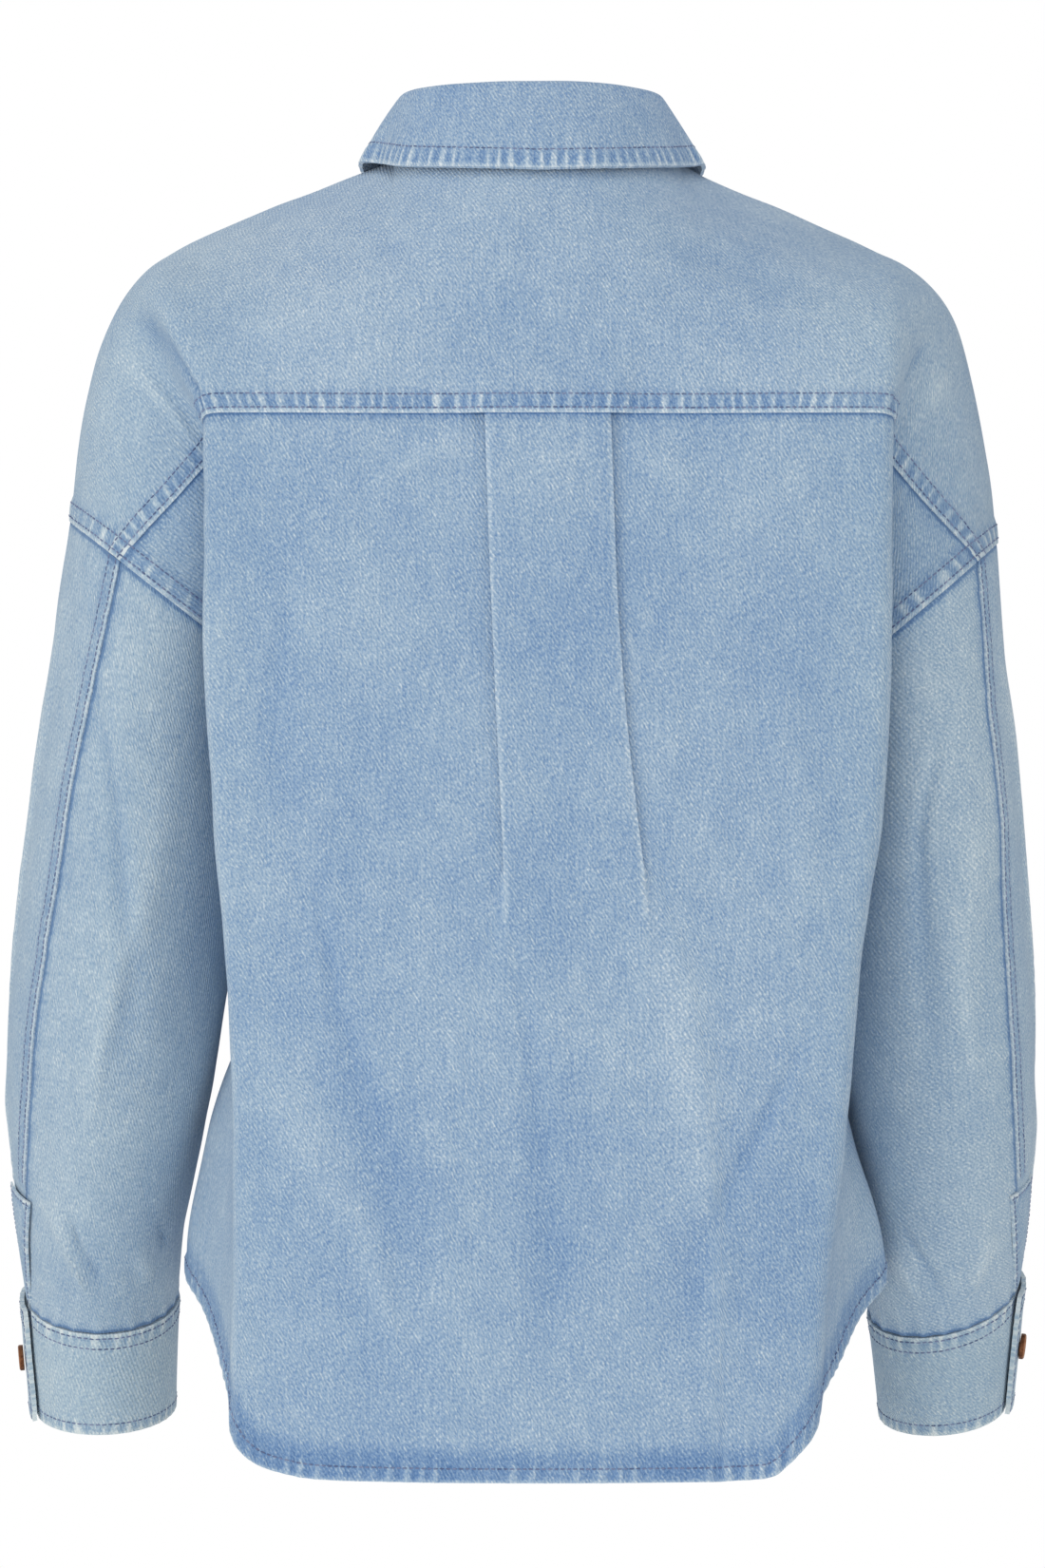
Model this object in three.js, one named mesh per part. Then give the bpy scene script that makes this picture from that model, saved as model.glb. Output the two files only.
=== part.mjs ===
// Oversized denim shirt, worn on a general figure with no wearer in it: the cloth keeps its hollow form.
// Units are millimetres. +Z is up, the garment's front faces -Y and the wearer's left side is +X.
// The origin lies midway between the two shoulder-and-neck points, where the wearer's shoulders carry the yoke.
import * as THREE from "three";

// Driving dimensions
const CLOTH = 1.2; // thickness of one layer of denim
const DOUBLE = 2.4; // two layers, as in cuffs, collar and bands
const SEAM_GAP = 0.3; // clearance between neighbouring pieces
const LAP = 1.0; // how far a lapped seam or turned hem stands proud of the cloth
const YOKE_SEAM_Z = -134; // height of the back yoke seam
const UNDERARM_ROW_Z = -265; // height of the row that ends at the underarm point
const CHEST_Z = -150; // height of the front row that the shoulder legs run down to
const FRONT_LAP = 15; // each front passes the centre line by this much
const FRONT_STEP = 3.1; // how far the lower front lies beneath the upper one
const FRONT_YOKE_SHARE = 0.3; // share of the front leg that the yoke covers
const NECK_HALF = 76;
const NECK_BACK = 58;
const NECK_SIDE_Y = -8;
const NECK_SIDE_Z = 9.7;
const STAND_HEIGHT = 31;
const CUFF_HEIGHT = 62;
const BUTTON_RADIUS = 7.5;

const DENIM = 0x94adc6;
const COPPER = 0x8a5a3c;

const SIDES = {
  left: {
    sign: 1,
    back: [
      { z: -134, ridgeX: 174, ridgeY: 103, tuckX: 167, tuckY: 64, bulge: 9, sideX: 150, sideY: -8 },
      { z: -200, ridgeX: 173, ridgeY: 105, tuckX: 160, tuckY: 56, bulge: 5, sideX: 150, sideY: -8 },
      { z: -265, ridgeX: 172, ridgeY: 105, tuckX: 148, tuckY: 48, bulge: 0, sideX: 150, sideY: -8 },
      { z: -330, ridgeX: 168.5, ridgeY: 104, tuckX: 141, tuckY: 48, bulge: 0, sideX: 138, sideY: -6 },
      { z: -414, ridgeX: 162, ridgeY: 103, tuckX: 146, tuckY: 52, bulge: 0, sideX: 145, sideY: -4 },
      { z: -508, ridgeX: 158, ridgeY: 101, tuckX: 158, tuckY: 58, bulge: 0, sideX: 175, sideY: 0 },
      { z: -578, ridgeX: 158, ridgeY: 99, tuckX: 165, tuckY: 55, bulge: 0, sideX: 188, sideY: 0 },
      { z: -690, ridgeX: 160, ridgeY: 96, tuckX: 168, tuckY: 55, bulge: 0, sideX: 190, sideY: 0 },
    ],
    hem: { centre: -685, slab: -684, corner: -678, turn: -660, tuck: -622, side: -584, frontCentre: -654 },
    neckLean: 8,
    // The ridge line of the shoulder, from the neck point over the tip to the armhole seam
    shoulder: [
      { x: 76, z: 9.7 }, { x: 94.5, z: 2.6 }, { x: 135, z: -13 }, { x: 186, z: -34.4 }, { x: 211, z: -50 },
      { x: 226.5, z: -70 }, { x: 236.7, z: -98 }, { x: 243, z: -128 }, { x: 247.9, z: -165 },
      { x: 249, z: -183 },
    ],
    sleeve: [
      { x: 199.5, y: -8, z: -222.5, half: 63.3, depth: 75, slope: 38.6, lean: 0, seam: 67.4 },
      { x: 207.5, y: -10, z: -290, half: 57.3, depth: 76, slope: 18, lean: 0, seam: 60 },
      { x: 213, y: -12, z: -345, half: 58.6, depth: 75, slope: 6, lean: 2, seam: 52 },
      { x: 226, y: -18, z: -443, half: 57.2, depth: 70, slope: 0, lean: 8, seam: 47 },
      { x: 232.4, y: -38, z: -508, half: 52, depth: 63, slope: 0, lean: 16, seam: 40 },
      { x: 237, y: -62, z: -567, half: 44, depth: 54, slope: 0, lean: 20, seam: 25 },
      { x: 237.5, y: -81, z: -604, half: 40, depth: 45, slope: 1, lean: 22, seam: 16 },
    ],
    cuff: { x: 237.5, y: -100, z: -668, half: 36.5, depth: 43, slope: -1, lean: 13 },
  },
  right: {
    sign: -1,
    back: [
      { z: -134, ridgeX: 184, ridgeY: 101, tuckX: 179, tuckY: 68, bulge: 5, sideX: 152, sideY: -8 },
      { z: -200, ridgeX: 183, ridgeY: 104, tuckX: 169, tuckY: 57, bulge: 4, sideX: 152, sideY: -8 },
      { z: -265, ridgeX: 182, ridgeY: 105, tuckX: 154, tuckY: 48, bulge: 0, sideX: 152, sideY: -8 },
      { z: -330, ridgeX: 179, ridgeY: 104, tuckX: 145, tuckY: 48, bulge: 0, sideX: 140, sideY: -6 },
      { z: -414, ridgeX: 167, ridgeY: 103, tuckX: 144, tuckY: 52, bulge: 0, sideX: 144, sideY: -4 },
      { z: -508, ridgeX: 159, ridgeY: 101, tuckX: 152, tuckY: 58, bulge: 0, sideX: 167, sideY: 2 },
      { z: -578, ridgeX: 152, ridgeY: 99, tuckX: 158, tuckY: 55, bulge: 0, sideX: 184, sideY: 4 },
      { z: -690, ridgeX: 140, ridgeY: 96, tuckX: 158, tuckY: 55, bulge: 0, sideX: 187, sideY: 4 },
    ],
    hem: { centre: -685, slab: -684, corner: -679, turn: -655, tuck: -626, side: -587, frontCentre: -654 },
    neckLean: 13,
    shoulder: [
      { x: 76, z: 9.7 }, { x: 89.4, z: 1 }, { x: 119, z: -11 }, { x: 159.5, z: -29 }, { x: 200, z: -46.5 },
      { x: 220.5, z: -67.5 }, { x: 230.7, z: -98 }, { x: 238.3, z: -133.5 }, { x: 244, z: -175 },
      { x: 245, z: -195 },
    ],
    sleeve: [
      { x: 198.5, y: -8, z: -235, half: 61.3, depth: 75, slope: 40.7, lean: 0, seam: 45 },
      { x: 203.5, y: -10, z: -298, half: 52.7, depth: 75, slope: 20, lean: 0, seam: 46 },
      { x: 206.5, y: -12, z: -350, half: 54, depth: 74, slope: 7, lean: 2, seam: 44 },
      { x: 213, y: -18, z: -443, half: 54, depth: 69, slope: 2, lean: 8, seam: 45 },
      { x: 218, y: -38, z: -508, half: 51, depth: 63, slope: 5, lean: 16, seam: 41 },
      { x: 221, y: -62, z: -567, half: 46, depth: 54, slope: 9, lean: 20, seam: 30 },
      { x: 222, y: -81, z: -604, half: 41, depth: 45, slope: 13, lean: 22, seam: 18 },
    ],
    cuff: { x: 223, y: -100, z: -668, half: 33.5, depth: 43, slope: 6, lean: 13 },
  },
};

const CENTRE_BACK = [
  { z: -134, y: 108 }, { z: -265, y: 114 }, { z: -414, y: 112 }, { z: -690, y: 107 },
];
const FRONT = [
  { z: -150, centreY: -112, ridgeX: 158, ridgeY: -98, tuckX: 163, tuckY: -76 },
  { z: -265, centreY: -120, ridgeX: 158, ridgeY: -100, tuckX: 150, tuckY: -62 },
  { z: -414, centreY: -118, ridgeX: 152, ridgeY: -98, tuckX: 146, tuckY: -60 },
  { z: -560, centreY: -112, ridgeX: 150, ridgeY: -94, tuckX: 160, tuckY: -52 },
  { z: -690, centreY: -108, ridgeX: 150, ridgeY: -90, tuckX: 162, tuckY: -52 },
];
// The box pleat: its middle leans towards the wearer's right on the way down and widens a little, while the
// overlap under its edges runs out and the height of its step fades
const PLEAT = [
  { z: -134, centre: -5, half: 32, under: 15, step: 3.6 },
  { z: -220, centre: -8, half: 32, under: 13, step: 3.6 },
  { z: -290, centre: -12, half: 33, under: 9, step: 3.5 },
  { z: -340, centre: -16, half: 34.5, under: 5, step: 3.2 },
  { z: -380, centre: -19, half: 36, under: 0, step: 2.4 },
  { z: -420, centre: -20, half: 36, under: -12, step: 1.5 },
  { z: -480, centre: -20, half: 36, under: -22, step: 0.7 },
  { z: -560, centre: -20, half: 36, under: -26, step: 0 },
  { z: -690, centre: -20, half: 36, under: -26, step: 0 },
];

// Smooth reading of a table: a cubic through its rows that never overshoots them
function read(table, key, at, along = "z") {
  const rows = table[0][along] < table[table.length - 1][along] ? table : [...table].reverse();
  const x = rows.map((row) => row[along]);
  const y = rows.map((row) => row[key]);
  const last = x.length - 1;
  if (at <= x[0]) return y[0];
  if (at >= x[last]) return y[last];
  let i = 0;
  while (at > x[i + 1]) i++;
  const rise = (k) => (y[k + 1] - y[k]) / (x[k + 1] - x[k]);
  const slope = (k) => {
    if (k === 0 || k === last) return rise(k === 0 ? 0 : last - 1);
    const [before, after] = [rise(k - 1), rise(k)];
    return before * after <= 0 ? 0 : (2 * before * after) / (before + after);
  };
  const span = x[i + 1] - x[i];
  const t = (at - x[i]) / span;
  const [t2, t3] = [t * t, t * t * t];
  return (2 * t3 - 3 * t2 + 1) * y[i] + (t3 - 2 * t2 + t) * span * slope(i)
    + (3 * t2 - 2 * t3) * y[i + 1] + (t3 - t2) * span * slope(i + 1);
}

const pleatEdge = (side, z = YOKE_SEAM_Z) => read(PLEAT, "half", z) + side.sign * read(PLEAT, "centre", z);
const mix = (a, b, t) => a + (b - a) * t;
const clamp01 = (t) => Math.min(1, Math.max(0, t));
const ease = (t) => clamp01(t) ** 2 * (3 - 2 * clamp01(t));
const point = (x, y, z) => new THREE.Vector3(x, y, z);
const between = (a, b, t) => new THREE.Vector3().lerpVectors(a, b, t);
const radians = (degrees) => (degrees * Math.PI) / 180;

// A point of the cubic B-spline that starts and ends at the first and last of its guide points
function spline(guides, u) {
  const last = guides.length - 1;
  const i = Math.min(Math.floor(u), last - 1);
  const t = u - i;
  const guide = (k) => {
    if (k < 0) return guides[0].clone().multiplyScalar(2).sub(guides[1]);
    if (k > last) return guides[last].clone().multiplyScalar(2).sub(guides[last - 1]);
    return guides[k];
  };
  const weights = [(1 - t) ** 3, 3 * t ** 3 - 6 * t * t + 4, -3 * t ** 3 + 3 * t * t + 3 * t + 1, t ** 3];
  const sum = point(0, 0, 0);
  weights.forEach((w, k) => sum.addScaledVector(guide(i - 1 + k), w / 6));
  return sum;
}

function bezier(a, b, c, d, t) {
  const s = 1 - t;
  return point(0, 0, 0).addScaledVector(a, s ** 3).addScaledVector(b, 3 * s * s * t)
    .addScaledVector(c, 3 * s * t * t).addScaledVector(d, t ** 3);
}

// A sleeve ring at a share of the sleeve's length: 0 is the armhole seam, 1 the cuff seam.
// The angle runs from the outer edge (0) over the back (90) to the underarm (180).
function sleevePoint(side, share, degrees) {
  const table = side.sleeve.map((row, k) => ({ ...row, share: k / (side.sleeve.length - 1) }));
  const row = (key) => read(table, key, share, "share");
  const [slope, lean] = [radians(row("slope")), radians(row("lean"))];
  const across = point(Math.cos(slope), 0, Math.sin(slope));
  const deep = point(0, Math.cos(lean), -Math.sin(lean));
  const angle = radians(degrees);
  return point(row("x"), row("y"), row("z"))
    .addScaledVector(across, row("half") * Math.cos(angle))
    .addScaledVector(deep, row("depth") * Math.sin(angle));
}

const armhole = (side, degrees) => sleevePoint(side, 0, degrees);
const FRONT_LEG_ANGLE = -80; // where the chest row meets the armhole seam

// The numbered guides of a back row, and how far each drops from the slab's height to the row's outer end
const ROW_DROP = [0, 0, 0, 0, 0, 0, 0, 0.03, 0.08, 0.12, 0.2, 0.36, 0.58, 0.8, 1];
const NECK_GUIDE = 2;
const END_GUIDE = 14;

function backGuides(side, slabZ) {
  const dip = (z) => Math.max(z, UNDERARM_ROW_Z);
  const share = clamp01((YOKE_SEAM_Z - slabZ) / (YOKE_SEAM_Z - UNDERARM_ROW_Z));
  const fall = clamp01((UNDERARM_ROW_Z - slabZ) / (UNDERARM_ROW_Z - side.hem.centre));
  const end = armhole(side, mix(side.sleeve[0].seam, 180, share));
  const hem = hemHeights(side, side.hem.centre);
  const heights = ROW_DROP.map((drop, k) => (fall > 0
    ? mix(mix(UNDERARM_ROW_Z, end.z, drop), hem[k], fall)
    : mix(dip(slabZ), end.z, drop)));
  const at = (key, k) => read(side.back, key, heights[k]);
  const centreY = (k) => read(CENTRE_BACK, "y", heights[k]);
  const slab = (k, x) => point(x, mix(centreY(k), at("ridgeY", k), (x / at("ridgeX", k)) ** 2), heights[k]);
  const ridge = (k, dx, dy) => point(at("ridgeX", k) + dx, at("ridgeY", k) + dy, heights[k]);
  const tuck = (k) => point(at("tuckX", k), at("tuckY", k), heights[k]);
  const outer = (k) => (fall > 0 ? point(at("sideX", k), at("sideY", k), heights[k]) : end);
  const beyond = (k, t) => {
    const p = between(tuck(k), outer(k), t);
    p.y += at("bulge", k) * 4 * t * (1 - t);
    if (fall > 0 && t > 0.7) p.x = outer(k).x - 0.5;
    p.z = heights[k];
    return p;
  };
  const inward = (k) => {
    const p = between(ridge(k, 0, -16), tuck(k), 0.55);
    p.z = heights[k];
    return p;
  };
  return [
    slab(0, 0), slab(1, 42), slab(2, 80), slab(3, 118), slab(4, at("ridgeX", 4) - 32), ridge(5, -14, 1),
    ridge(6, -3, 0), ridge(7, 1, -6), ridge(8, 0, -16), inward(9), tuck(10), beyond(11, 0.22),
    beyond(12, 0.5), beyond(13, 0.8), outer(14),
  ];
}

function hemHeights(side, centre) {
  const { slab, corner, turn, tuck, side: seam } = side.hem;
  const lift = centre - side.hem.centre;
  return [
    centre, centre, centre, slab + lift, mix(slab, corner, 0.35) + lift, corner + lift,
    mix(corner, turn, 0.5) + lift, turn + lift * 0.8, mix(turn, tuck, 0.4) + lift * 0.7,
    mix(turn, tuck, 0.7) + lift * 0.6, tuck + lift * 0.5,
    mix(tuck, seam, 0.3) + lift * 0.3, mix(tuck, seam, 0.6) + lift * 0.2, mix(tuck, seam, 0.88), seam,
  ];
}

// The same for a front row. Its first guides are the overlapping edge and the band.
const FRONT_NECK_GUIDE = 3;
const FRONT_X = [-FRONT_LAP, 18, 45, 75, 116];
const FRONT_DROP = [0, 0, 0, 0, 0, 0, 0, 0.02, 0.06, 0.12, 0.2, 0.3, 0.42, 0.6, 0.8, 1];

function frontGuides(side, slabZ) {
  const share = clamp01((CHEST_Z - slabZ) / (CHEST_Z - UNDERARM_ROW_Z));
  const fall = clamp01((UNDERARM_ROW_Z - slabZ) / (UNDERARM_ROW_Z - side.hem.frontCentre));
  const end = armhole(side, mix(FRONT_LEG_ANGLE, -180, share));
  const hem = [side.hem.frontCentre, ...hemHeights(side, side.hem.frontCentre)];
  const heights = FRONT_DROP.map((drop, k) => (fall > 0
    ? mix(mix(UNDERARM_ROW_Z, end.z, drop), hem[k], fall)
    : mix(Math.max(slabZ, UNDERARM_ROW_Z), end.z, drop)));
  const at = (key, k) => read(FRONT, key, heights[k]);
  const under = side.sign > 0 ? 1 : 0; // the wearer's left front lies beneath the right one
  const slab = (k, x) => {
    const y = mix(at("centreY", k), at("ridgeY", k), (x / at("ridgeX", k)) ** 2);
    return point(x, y + under * FRONT_STEP * (1 - ease((x - 17) / 30)), heights[k]);
  };
  const ridge = (k, dx, dy) => point(at("ridgeX", k) + dx, at("ridgeY", k) + dy, heights[k]);
  const tuck = (k) => point(at("tuckX", k), at("tuckY", k), heights[k]);
  const outer = (k) => (fall > 0
    ? point(read(side.back, "sideX", heights[k]), read(side.back, "sideY", heights[k]), heights[k])
    : end);
  const beyond = (k, t) => {
    const p = between(tuck(k), outer(k), t);
    if (fall > 0 && t > 0.7) p.x = outer(k).x - 0.5;
    p.z = heights[k];
    return p;
  };
  const inward = between(ridge(9, 0, 16), tuck(10), 0.5);
  inward.z = heights[10];
  return [
    ...FRONT_X.map((x, k) => slab(k, x)), slab(5, at("ridgeX", 5) - 26), ridge(6, -12, -1), ridge(7, -2, 0),
    ridge(8, 2, 6), ridge(9, 1, 16), inward, tuck(11), beyond(12, 0.22), beyond(13, 0.5), beyond(14, 0.8),
    outer(15),
  ];
}

// The top line of the yoke: the back neck curve to the neck point, then the shoulder ridge to the armhole
function shoulderPoint(side, share) {
  const ridge = side.shoulder.map((p) => point(p.x, NECK_SIDE_Y, p.z));
  return spline(ridge, clamp01(share) * (ridge.length - 1));
}
const backNeck = (share) => {
  const angle = (share * Math.PI) / 2;
  return point(NECK_HALF * Math.sin(angle), NECK_SIDE_Y + NECK_BACK * Math.cos(angle), NECK_SIDE_Z);
};

// Where each guide, counted from the neck guide, meets the shoulder ridge
const RIDGE_SHARE = [0, 0.22, 0.34, 0.38, 0.41, 0.44, 0.48, 0.52, 0.56, 0.62, 0.72, 0.84, 1];
function ridgeShare(guide) {
  const i = Math.min(Math.floor(guide), RIDGE_SHARE.length - 2);
  return mix(RIDGE_SHARE[i], RIDGE_SHARE[i + 1], guide - i);
}

// A leg is the curve from the top line down to the yoke seam behind, or to the chest row in front
function leg(top, foot, steepness, sideways) {
  const down = foot.clone().sub(top);
  const reach = 0.55 * Math.abs(down.y);
  const fall = Math.hypot(down.x, down.z);
  const start = point(sideways, Math.sign(down.y) * reach * Math.cos(steepness), -reach * Math.sin(steepness));
  const up = point(-down.x, 0, -down.z).normalize();
  return [top, top.clone().add(start), foot.clone().addScaledVector(up, 0.55 * fall), foot];
}

function onLeg(side, from, guide, share, endAngle) {
  const [a, b, c, d] = from(side, guide);
  const p = bezier(a, b, c, d, share);
  const [ea, eb, ec, ed] = from(side, from.last);
  const error = armhole(side, endAngle * share).sub(bezier(ea, eb, ec, ed, share));
  return p.addScaledVector(error, ease((guide - from.last + 5) / 5));
}

const frontLeg = (side, guide) => {
  const beyondNeck = guide - FRONT_NECK_GUIDE;
  const top = shoulderPoint(side, ridgeShare(beyondNeck));
  const foot = spline(frontGuides(side, CHEST_Z), guide);
  return leg(top, foot, mix(radians(20), 0, ease(beyondNeck / 6)), mix(-12, 0, ease(beyondNeck / 4)));
};
frontLeg.last = 15;
const backLeg = (side, guide) => {
  const beyondNeck = Math.max(0, guide - NECK_GUIDE);
  const top = guide < NECK_GUIDE ? backNeck(guide / NECK_GUIDE) : shoulderPoint(side, ridgeShare(beyondNeck));
  const foot = spline(backGuides(side, YOKE_SEAM_Z), guide);
  const steepness = guide < NECK_GUIDE ? mix(50, 22, guide / NECK_GUIDE) : mix(22, 0, ease(beyondNeck / 5));
  const sideways = guide < NECK_GUIDE ? (NECK_HALF * guide) / NECK_GUIDE - top.x : 0;
  return leg(top, foot, radians(steepness), sideways);
};
backLeg.last = END_GUIDE;

function backYokePoint(side, guide, share) {
  const p = onLeg(side, backLeg, guide, share, side.sleeve[0].seam);
  const overPleat = 1 - ease((p.x - pleatEdge(side)) / 5);
  p.y += read(PLEAT, "step", YOKE_SEAM_Z) * overPleat * ease((share - 0.82) / 0.18);
  return p;
}
const frontTopPoint = (side, guide, share) => onLeg(side, frontLeg, guide, share, FRONT_LEG_ANGLE);

// The front neck curve as a quarter ellipse from the yoke's neck corner to the centre front
function frontNeck(side, x) {
  const corner = frontTopPoint(side, FRONT_NECK_GUIDE, FRONT_YOKE_SHARE);
  const c = Math.sqrt(Math.max(0, 1 - (x / corner.x) ** 2));
  return point(x, corner.y - 34 * c, corner.z - 45 * c);
}
const FRONT_NECK_X = [-FRONT_LAP, 18, 44];

// The front panel above the chest row, at a share of the way down from its top edge
function frontUpperPoint(side, guide, share) {
  if (guide >= FRONT_NECK_GUIDE) return frontTopPoint(side, guide, mix(FRONT_YOKE_SHARE, 1, share));
  const corner = frontTopPoint(side, FRONT_NECK_GUIDE, FRONT_YOKE_SHARE);
  const xs = [...FRONT_NECK_X, corner.x];
  const i = Math.min(Math.floor(guide), 2);
  const top = frontNeck(side, mix(xs[i], xs[i + 1], guide - i));
  const foot = spline(frontGuides(side, CHEST_Z), guide);
  const under = side.sign > 0 ? 1 : 0;
  top.y += under * FRONT_STEP * (1 - ease((top.x - 17) / 30));
  const [, b, c, d] = frontLeg(side, FRONT_NECK_GUIDE);
  const handleEnd = bezier(frontLeg(side, FRONT_NECK_GUIDE)[0], b, c, d, FRONT_YOKE_SHARE + 0.23);
  const cornerHandle = handleEnd.sub(corner);
  const t = ease((guide - 0.95) / (FRONT_NECK_GUIDE - 0.95));
  const first = between(point(0, -9, -28), cornerHandle, t);
  const second = between(point(0, 0, 30), point(0, 0, 46), t);
  return bezier(top, top.clone().add(first), foot.clone().add(second), foot, share);
}

// Cloth: panels of quads, joined where they share points, then made a wall with a thickness
class Cloth {
  constructor() {
    this.points = [];
    this.raised = [];
    this.quads = [];
    this.known = new Map();
  }

  vertex(p, raised) {
    const key = [p.x, p.y, p.z].map((c) => Math.round(c * 50)).join();
    if (!this.known.has(key)) {
      this.known.set(key, this.points.length);
      this.points.push(p);
      this.raised.push(raised);
    }
    return this.known.get(key);
  }

  // rows of points; each cell becomes a quad facing (next column) x (next row), or the other way if flipped
  grid(rows, flipped, raise = () => 0) {
    const ids = rows.map((row, j) => row.map((p, i) => this.vertex(p, raise(j, i, rows.length - 1))));
    for (let j = 0; j + 1 < ids.length; j++) {
      for (let i = 0; i + 1 < ids[j].length; i++) {
        const quad = [ids[j][i], ids[j][i + 1], ids[j + 1][i + 1], ids[j + 1][i]];
        this.quads.push(flipped ? quad.reverse() : quad);
      }
    }
    return this;
  }

  mesh(name, thickness, colour) {
    const normals = this.points.map(() => point(0, 0, 0));
    for (const quad of this.quads) {
      const [a, b, c, d] = quad.map((k) => this.points[k]);
      const n = c.clone().sub(a).cross(d.clone().sub(b));
      quad.forEach((k) => normals[k].add(n));
    }
    normals.forEach((n) => n.normalize());
    const count = this.points.length;
    const positions = [];
    this.points.forEach((p, k) => positions.push(...p.clone()
      .addScaledVector(normals[k], thickness / 2 + this.raised[k]).toArray()));
    this.points.forEach((p, k) => positions.push(...p.clone()
      .addScaledVector(normals[k], -thickness / 2).toArray()));
    const index = [];
    const edges = new Map();
    for (const [a, b, c, d] of this.quads) {
      index.push(a, b, c, a, c, d, a + count, c + count, b + count, a + count, d + count, c + count);
      [[a, b], [b, c], [c, d], [d, a]].forEach(([from, to]) => edges.set(from + "_" + to, [from, to]));
    }
    for (const [from, to] of edges.values()) {
      if (edges.has(to + "_" + from)) continue;
      index.push(to, from, from + count, to, from + count, to + count);
    }
    const geometry = new THREE.BufferGeometry();
    geometry.setAttribute("position", new THREE.Float32BufferAttribute(positions, 3));
    geometry.setIndex(index);
    geometry.computeVertexNormals();
    return named(name, geometry, colour);
  }
}

function named(name, geometry, colour, metalness = 0) {
  const roughness = metalness ? 0.45 : 0.9;
  const material = new THREE.MeshStandardMaterial({ color: colour, roughness, metalness });
  const mesh = new THREE.Mesh(geometry, material);
  mesh.name = name;
  return mesh;
}

const steps = (from, to, count) => Array.from({ length: count + 1 }, (_, k) => mix(from, to, k / count));
const mirrored = (side, p) => point(p.x * side.sign, p.y, p.z);
const bothSides = Object.entries(SIDES);
const shirt = new THREE.Group();

// Columns beyond the neck point, close together where the panel turns round the edge of the back
const COLUMNS = [0, 0.5, 1.2, 2, 2.6, 3.2, 3.6, 4, 4.5, 5, 5.5, 6, 6.5, 7, 7.5, 8, 9, 10, 11, 12];
const YOKE_ROWS = 7;
const WING_ROWS = 2;
const FRONT_UPPER_ROWS = 4;
const CHEST_ROWS = 3;
const UPPER_ROWS = 5;
const LOWER_ROWS = 8;
const HEM = 12; // width of the turned hem

// Each panel's edge is drawn back from its seam by half the clearance
const SLIT = SEAM_GAP / 2;
const drawn = (p, towards, by = SLIT) => p.clone().addScaledVector(towards.clone().sub(p).normalize(), by);
function drawEdges(rows, edges, topBy = () => SLIT, outerBy = () => SLIT) {
  const last = rows.length - 1;
  const end = rows[0].length - 1;
  return rows.map((row, j) => row.map((p, i) => {
    let q = p;
    if (j === 0 && edges.includes("top")) q = drawn(q, rows[1][i], topBy(i));
    if (j === last && edges.includes("bottom")) q = drawn(q, rows[last - 1][i]);
    if (i === end && edges.includes("outer")) q = drawn(q, row[end - 1], outerBy(j));
    return q;
  }));
}
const panel = (cloth, side, rows, edges, flipped, raise, topBy, outerBy) => cloth.grid(
  drawEdges(rows, edges, topBy, outerBy).map((row) => row.map((p) => mirrored(side, p))), flipped, raise);
const sideSeam = (firstRow) => (j) => (j > firstRow ? 0.5 : SLIT);

// The guide number at which the slab is this far from the centre line
const slabGuide = (x) => {
  const stops = [0, 42, 80];
  const i = x < stops[1] ? 0 : 1;
  return i + (x - stops[i]) / (stops[i + 1] - stops[i]);
};

// Yoke: one piece over both shoulders, from the back seam to the two short front seams
const yoke = new Cloth();
for (const [, side] of bothSides) {
  const edge = pleatEdge(side);
  const middle = [0, edge - 16, edge - 4, edge + 1, edge + 6, edge + 16].map(slabGuide);
  const across = [...middle, 1.6, ...COLUMNS.map((c) => NECK_GUIDE + c)];
  const backRows = steps(0, 1, YOKE_ROWS).map((share) => across.map((g) => backYokePoint(side, g, share)));
  const wingRows = steps(0, FRONT_YOKE_SHARE, WING_ROWS)
    .map((share) => COLUMNS.map((c) => frontTopPoint(side, FRONT_NECK_GUIDE + c, share)));
  const lap = (j, i, lastRow) => (j === lastRow ? LAP : 0);
  panel(yoke, side, backRows, ["bottom", "outer"], side.sign < 0, lap);
  panel(yoke, side, wingRows, ["bottom", "outer"], side.sign > 0, lap);
}
shirt.add(yoke.mesh("yoke", CLOTH, DENIM));

// Back panel, with a box pleat at its middle
function pleatGuides(side, z) {
  const edge = pleatEdge(side, z);
  const [under, step] = [read(PLEAT, "under", z), read(PLEAT, "step", z)];
  const open = Math.max(0, -under);
  const folded = clamp01(under / 4);
  const inner = edge - Math.max(0, under);
  const at = (openX, foldX, openY, foldY) => point(
    mix(openX, foldX, folded), step * mix(openY, foldY, folded), z);
  return [
    point(0, step, z), point(edge - 16, step, z), point(edge - 5, step, z), at(edge + 0.5, edge + 0.5, 1, 0.95),
    at(edge + 0.6 + open * 0.2, edge + 0.6, 0.85, 0.75), at(edge + 1 + open * 0.5, edge - 2.5, 0.5, 0.5),
    at(edge + 2 + open * 0.7, inner + 2.5, 0.3, 0.5), at(edge + 3 + open * 0.9, inner - 0.6, 0.1, 0.25),
    at(edge + 4 + open, inner - 0.5, 0, 0.1), at(edge + 8 + open, edge - 6, 0, 0),
    point(edge + open + 12, 0, z),
  ];
}
const heightsDown = (from, hem) => [...steps(from, hem + HEM + 2, LOWER_ROWS).slice(1), hem + HEM, hem];
const back = new Cloth();
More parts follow.
